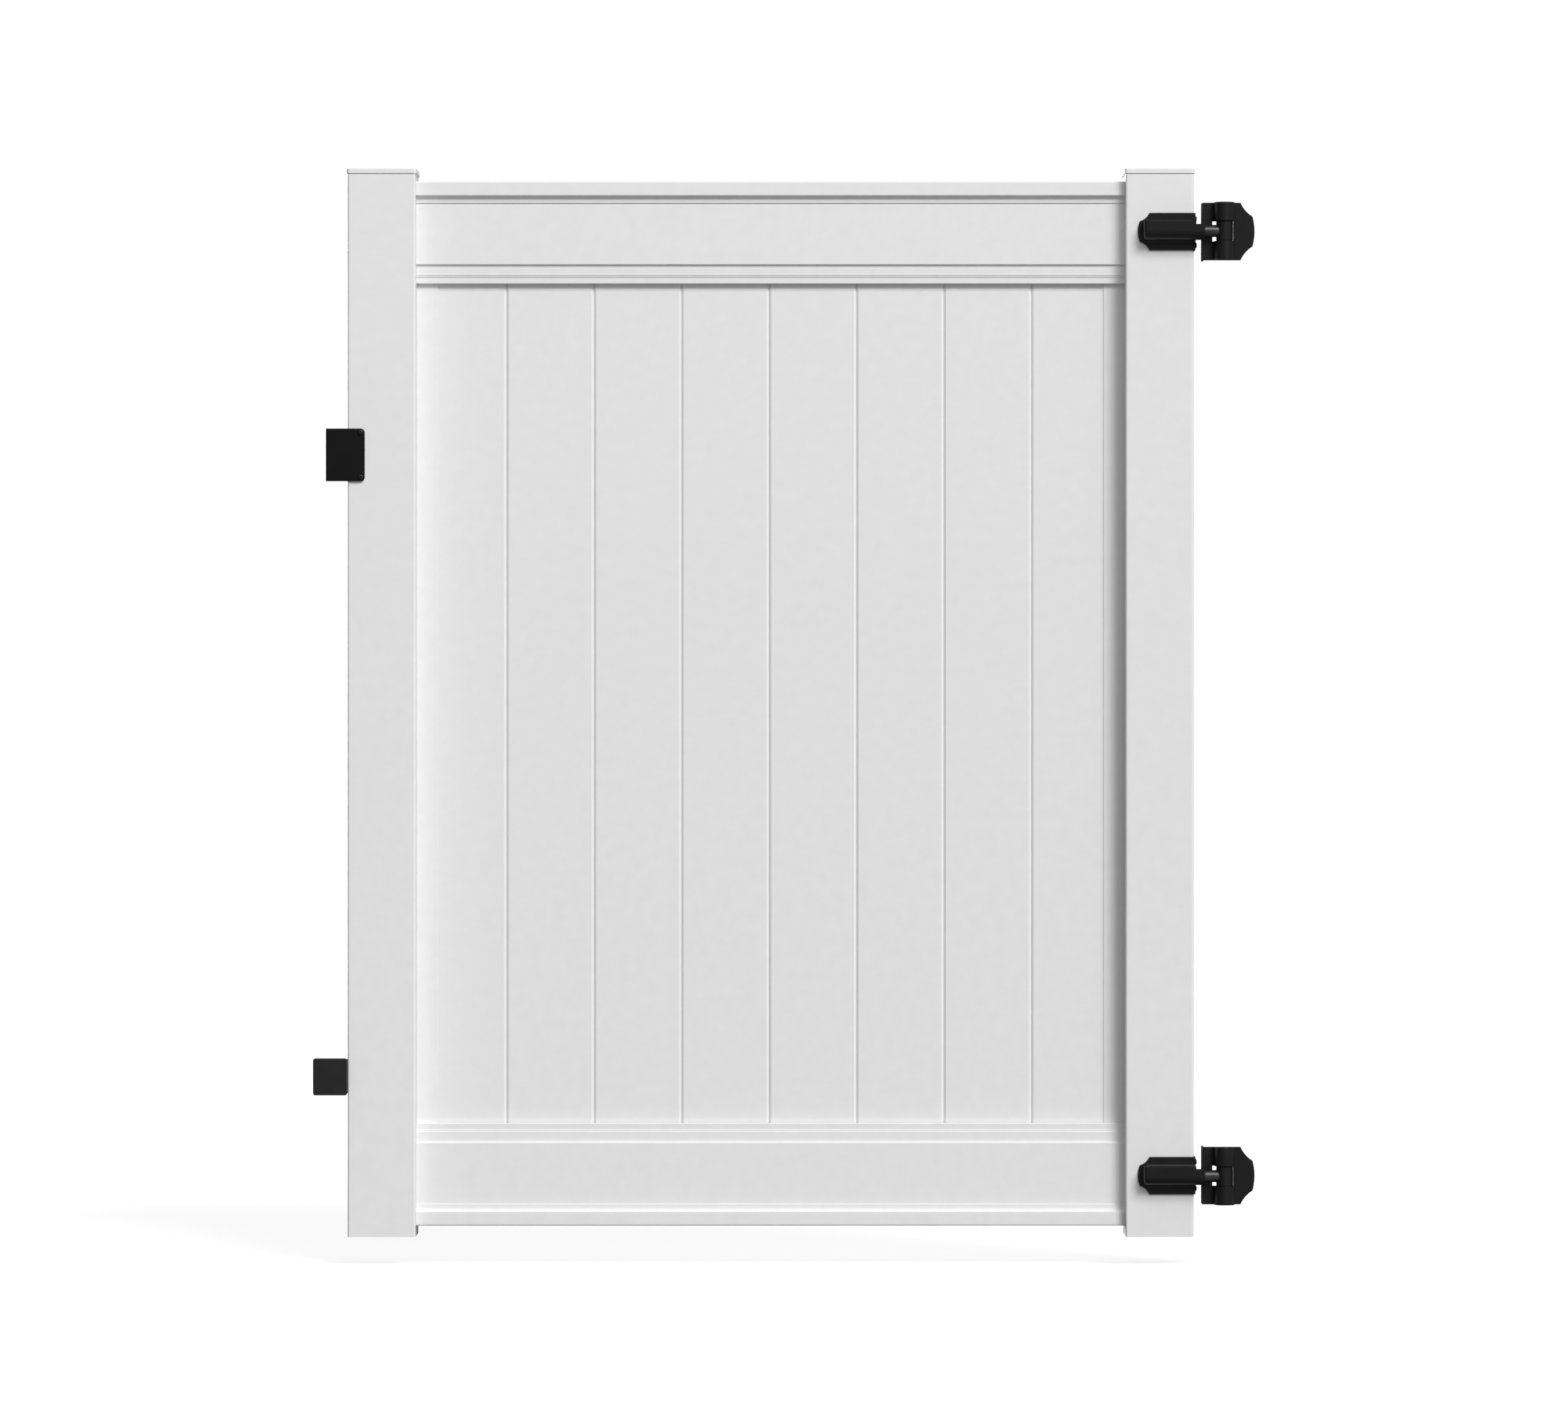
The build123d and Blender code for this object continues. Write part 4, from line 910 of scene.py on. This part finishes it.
def cut_holes(thing, cutters):
    """Take closed shells away from a piece's mesh with an exact boolean, and keep only the result."""
    scratch = joined_mesh("cutter", cutters)
    cutter = bpy.data.objects.new("cutter", scratch)
    scene.collection.objects.link(cutter)
    finishing = thing.modifiers[0]
    finishing.show_viewport = False
    boolean = thing.modifiers.new("holes", "BOOLEAN")
    boolean.object = cutter
    boolean.operation = "DIFFERENCE"
    boolean.solver = "EXACT"
    evaluated = thing.evaluated_get(bpy.context.evaluated_depsgraph_get())
    result = bpy.data.meshes.new_from_object(evaluated)
    result.name = thing.name
    thing.modifiers.remove(boolean)
    finishing.show_viewport = True
    before, thing.data = thing.data, result
    bpy.data.meshes.remove(before)
    bpy.data.objects.remove(cutter)
    bpy.data.meshes.remove(scratch)


for side, level in hinge_level.items():
    node = side + "_gate_leaf"
    plate = slab(gate_plate, gate_radii, block(0, LEAF, 0, PLATE_RIM), (0, FACE_Y, level), X, Z, steps=3)
    leg_corners = box_corners(LEG_ROOT, -GATE_HALF, LEG_REACH, GATE_HALF)
    leg = slab(leg_corners, LEG_ROUNDS, block(0, LEG, 0, 0.5), (GATE_RIGHT - LEG, 0, level), Y, Z)
    step = GATE_RIGHT - BOSS_START
    long_part = rings(d_outline(BOSS, FACE_Y), rim(0, BOSS_ROUND, -1, 8) + [(0, step)])
    free_part = rings(d_outline(BOSS, BOSS_BACK_CUT), [(0, step)] + rim(BOSS_END - BOSS_START, 0.7, 1))
    rod_bore = rings(circle(ROD_BORE), [(0, ROD_BORE_END - BOSS_START), (0, BOSS_END - BOSS_START)])
    boss = placed(shell(np.concatenate([long_part, free_part]), rod_bore), (BOSS_START, 0, level), Y, Z)
    leaf = piece(node + "_casting", [boss], node)
    drill = rings(circle(GRUB_BORE, points=24), block(GRUB_BORE_FLOOR, BOSS + 1.0))
    cut_holes(leaf, [placed(shell(drill), (x, 0, level), X, Y) for x in GRUB_POSITIONS])
    cove_profile, cove_place = block(0, GATE_RIGHT - COVE_END, 1.5, 0.3), (COVE_END, 0, level)
    coves = [
        slab([(y, z * hand) for y, z in cove], COVE_ROUND, cove_profile, cove_place, Y, Z, steps=2)
        for hand in (1, -1)
    ]
    piece(side + "_gate_leaf_plate", [plate, leg, *coves], node)
print("each boss has", len(GRUB_POSITIONS), "grub screw bores")

# %% [markdown]
# Inside the barrels are the pin and the spring that closes the gate. They are out of sight, so their plain
# solids stay. The cap above them shows its hexagon socket from above, and the knuckle shows in the window. A
# screw's sizes are its head's radius and height, its shank's radius and its length.

# %% Knuckles, rods and tension caps
KNUCKLE = 14.3
KNUCKLE_HALF = 17.0
KNUCKLE_RIM = 0.8
ROD = 10.5
ROD_START = 8.05
ROD_END = 118.0
CAP_RADIUS = 13.9
CAP_THICK = 4.0
CAP_HEXAGON = 4.0
CAP_HEXAGON_DEPTH = 2.5
GRUB = 2.9
GRUB_LENGTH = 4.4
GRUB_SUNK = 0.3
GRUB_RIM = 0.3
GRUB_SOCKET = 1.5
LEAF_SCREW = (4.6, 2.8, 2.4, 15.5)
LEAF_SCREW_HOLES = [(y, z) for y in (30.0, 46.0) for z in (-23.0, 23.0)]


def rimmed(radius, low, high, edge):
    """Rows for a turned bar with a quarter-round rim at both ends."""
    return [(radius - inset, height, 0) for inset, height in block(low, high, edge, edge)]


for side, level in hinge_level.items():
    eye = rimmed(KNUCKLE, -KNUCKLE_HALF, KNUCKLE_HALF, KNUCKLE_RIM)
    eye += [(PIN_BORE, KNUCKLE_HALF, 0), (PIN_BORE, -KNUCKLE_HALF, 0)]
    knuckle = placed(turned(eye, closed=True), (0, 0, level), X, Y)
    piece(side + "_knuckle_turning", [knuckle], side + "_knuckle")
    rod = placed(turned(rimmed(ROD, ROD_START, ROD_END, 1.0)), (0, 0, level), FRONT, Z)
    piece(side + "_adjuster_rod_turning", [rod], side + "_adjuster_rod")
    lid = rimmed(CAP_RADIUS, 0, CAP_THICK, 0.6)
    lid += [(CAP_HEXAGON, CAP_THICK, 6), (CAP_HEXAGON, CAP_THICK - CAP_HEXAGON_DEPTH, 6)]
    lid_place = (0, 0, level + POST_HALF - CAP_THICK)
    piece(side + "_tension_cap_moulding", [placed(turned(lid), lid_place, X, Y)], side + "_tension_cap")
    grub = [(GRUB, -GRUB_LENGTH, 0), (GRUB, -GRUB_RIM, 0), (GRUB - GRUB_RIM, 0, 0)]
    grub += [(GRUB_SOCKET, 0, 6), (GRUB_SOCKET, -SOCKET_DEPTH, 6)]
    grubs = [placed(turned(grub), (x, 0, level + BOSS - GRUB_SUNK), X, Y) for x in GRUB_POSITIONS]
    piece(side + "_set_screws_turning", grubs, side + "_set_screws")
    leaf_screws = [screw((GATE_RIGHT, y, level + z), X, *LEAF_SCREW) for y, z in LEAF_SCREW_HOLES]
    piece(side + "_leaf_screws_turning", leaf_screws, side + "_leaf_screws")
print("each hinge is", sum(name.startswith("upper") for name in made), "pieces")

# %% [markdown]
# ## Latch
# The latch is one casting with a loose catch. Its square plate laps the latch post from the front, and
# behind it an open case stands in the gap. Two ribs guide the post's striker, and a third stiffens the
# case's lower edge. The catch drops behind the striker by its own weight, and its tail ends in a thumb pad
# behind the stile.

# %% Latch body
LATCH_PLATE = 5.0
LATCH_RELIEF = 1.0
OVER_POST = 37.5
OVER_STILE = 30.0
PLATE_HALF = 45.75
PLATE_CORNER = 7.0
LATCH_RIM = 1.4
CASE_BASE = 3.0
CASE_DEEP = 14.0
CASE_HALF = 38.0
CASE_START = 14.5
CASE_END = 87.0
RIB = 3.0
RIBS = ((CASE_END, -CASE_HALF), (CASE_END, -19.0), (47.0, -4.0))
REST_RADIUS, REST_PLACE = 3.0, (73.0, 8.7)
PIVOT_PLACE = (33.0, 18.0)
PIVOT_HOLE = circle(3.05, PIVOT_PLACE, 32)
LATCH_ROUNDS = [1.0, PLATE_CORNER, PLATE_CORNER, 1.0]
latch_left = box_mm("latch_body")[0][0]
latch_level = middle_height("latch_body")
latch_x = latch_left + OVER_POST

plate_place = (latch_left, FACE_Y, latch_level)
plate_corners = box_corners(0, -PLATE_HALF, OVER_POST + OVER_STILE, PLATE_HALF)
plate_profile = block(LATCH_RELIEF, LATCH_PLATE, 0, LATCH_RIM)
front_plate = slab(plate_corners, LATCH_ROUNDS, plate_profile, plate_place, X, Z, steps=8)
foot_corners = box_corners(OVER_POST, -PLATE_HALF, OVER_POST + OVER_STILE, PLATE_HALF)
foot = slab(foot_corners, [0.2, PLATE_CORNER, PLATE_CORNER, 0.2], block(0, 2.0), plate_place, X, Z, steps=8)
base_corners = box_corners(CASE_START, -CASE_HALF, CASE_END, CASE_HALF)
base_place = (latch_x - CASE_BASE, 0, latch_level)
base = slab(base_corners, 0.6, block(0, CASE_BASE, 0.3, 0), base_place, Y, Z, [PIVOT_HOLE])
rib_place = (latch_x - CASE_DEEP, 0, latch_level)
ribs = [
    slab(box_corners(CASE_START, z, end, z + RIB), 0.5, block(0, CASE_DEEP, 0.4, 0), rib_place, Y, Z)
    for end, z in RIBS
]
rest = rings(circle(REST_RADIUS, REST_PLACE, 24), block(0, CASE_DEEP, 0.5, 0))
rest = placed(shell(rest), rib_place, Y, Z)
piece("latch_body_casting", [front_plate, foot, base, *ribs, rest], "latch_body")
print("the latch is at", round(latch_level), "mm")

# %% [markdown]
# The catch is a flat arm with a nose under it and a pad bent over at its tail. The nose slopes on the side
# that meets the striker, so that the striker lifts it as the gate shuts. Its other side is steep, so that
# the striker can't leave. A rivet holds the arm.

# %% Catch, pivot and latch screws
CATCH = 5.0
CATCH_NEAR = 3.6
ARM = 6.0
NOSE_START, NOSE_FOOT, NOSE_REACH, RAMP_END = 48.0, 52.5, -13.0, 71.0
TAIL_STEP = 1.0
PAD = 5.0
PAD_LENGTH = 18.0
PAD_ROUNDS = [0.8, 5.0, 5.0, 0.8]
ROUND_SHARE = 0.98
RIVET = [(3.0, 0, 0), (3.0, 8.9, 0), (5.0, 8.9, 0), (5.0, 10.2, 0), (4.6, 10.7, 0), (4.0, 10.9, 0)]
LATCH_SCREW = (4.6, 2.4, 1.9, 14.0)
LATCH_SCREW_INSET = 7.0
catch_low, catch_high = box_mm("latch_catch")
pivot_back, pivot_rise = PIVOT_PLACE
arm_low, arm_high = pivot_rise - ARM, pivot_rise + ARM
tail = catch_high[1] - TAIL_STEP
catch_points = [
    (pivot_back - ARM, arm_low, ARM),
    (NOSE_START, arm_low, 0.5),
    (NOSE_START, NOSE_REACH, 0.8),
    (NOSE_FOOT, NOSE_REACH, 1.5),
    (RAMP_END, arm_low, 2.0),
    (tail, arm_low, 1.5),
    (tail, arm_high, 1.5),
    (pivot_back - ARM, arm_high, ARM),
]
catch_corners, catch_radii = split(catch_points)
catch_place = (latch_x - CATCH_NEAR - CATCH, 0, latch_level)
catch_profile = block(0, CATCH, 0.6, 0.6)
arm = slab(catch_corners, catch_radii * ROUND_SHARE, catch_profile, catch_place, Y, Z, [PIVOT_HOLE], 8)
pad_corners = box_corners(catch_low[0], catch_high[1] - PAD_LENGTH, catch_high[0], catch_high[1])
pad_place = (0, 0, latch_level + arm_high - PAD)
pad = slab(pad_corners, PAD_ROUNDS, block(0, PAD, 0.8, 1.4), pad_place, X, Y, steps=8)
piece("latch_catch_stamping", [arm, pad], "latch_catch")

rivet = placed(turned(RIVET), (latch_x, pivot_back, latch_level + pivot_rise), FRONT, Z)
piece("latch_pivot_turning", [rivet], "latch_pivot")
screw_x, screw_y = latch_x + OVER_STILE - LATCH_SCREW_INSET, FACE_Y - LATCH_PLATE
screw_rise = PLATE_HALF - LATCH_SCREW_INSET
latch_screws = [
    screw((screw_x, screw_y, latch_level + z), FRONT, *LATCH_SCREW) for z in (-screw_rise, screw_rise)
]
piece("latch_screws_turning", latch_screws, "latch_screws")
print("the catch is", round(catch_high[1] - catch_low[1]), "mm long")

# %% [markdown]
# ## Gate stop
# The stop is a thick square pad with clipped corners, on a leg that is screwed to the stile. The rubber
# bumper behind it lands on the latch post, so that the gate shuts with a soft knock.

# %% Stop
STOP_THICK = 8.0
STOP_LEG = 4.0
STOP_LEG_HALF = 29.0
STOP_LEG_ROUNDS = [0.3, 3.0, 3.0, 0.3]
STOP_CLIP = 2.6
STOP_RIM = 1.3
BUMPER = 14.0
BUMPER_RIM = 2.3
STOP_SCREW = (3.6, 2.1, 1.9, 15.0)
STOP_SCREW_BACK = 26.0
STOP_SCREW_RISE = 18.0
stop_low, stop_high = box_mm("stop_bracket")
stop_level = middle_height("stop_bracket")
half = (stop_high[2] - stop_low[2]) / 2
width = stop_high[0] - stop_low[0]
clipped = [
    (STOP_CLIP, -half), (width - STOP_CLIP, -half), (width, STOP_CLIP - half), (width, half - STOP_CLIP),
    (width - STOP_CLIP, half), (STOP_CLIP, half), (0, half - STOP_CLIP), (0, STOP_CLIP - half),
]
stop_back = stop_low[1] + STOP_THICK
stop_place = (stop_low[0], stop_back, stop_level)
stop_pad = slab(clipped, 0.8, block(0, STOP_THICK, 0.6, STOP_RIM), stop_place, X, Z)
leg_corners = box_corners(stop_back - 2.0, -STOP_LEG_HALF, stop_high[1], STOP_LEG_HALF)
leg_x = stop_high[0] - STOP_LEG
stop_leg = slab(leg_corners, STOP_LEG_ROUNDS, block(0, STOP_LEG, 0.6, 0), (leg_x, 0, stop_level), Y, Z)
piece("stop_bracket_moulding", [stop_pad, stop_leg], "stop_bracket")
bumper_low, bumper_high = box_mm("stop_bumper")
bumper_place = ((bumper_low[0] + bumper_high[0]) / 2, bumper_low[1], stop_level)
bumper_profile = block(0, bumper_high[1] - bumper_low[1], 0, BUMPER_RIM)
bumper = [(BUMPER - inset, height, 0) for inset, height in bumper_profile]
piece("stop_bumper_moulding", [placed(turned(bumper), bumper_place, LEFT, Z)], "stop_bumper")
stop_screws = [
    screw((leg_x, FACE_Y + STOP_SCREW_BACK, stop_level + z), LEFT, *STOP_SCREW)
    for z in (-STOP_SCREW_RISE, STOP_SCREW_RISE)
]
piece("stop_screws_turning", stop_screws, "stop_screws")
print(len(made), "pieces are made")
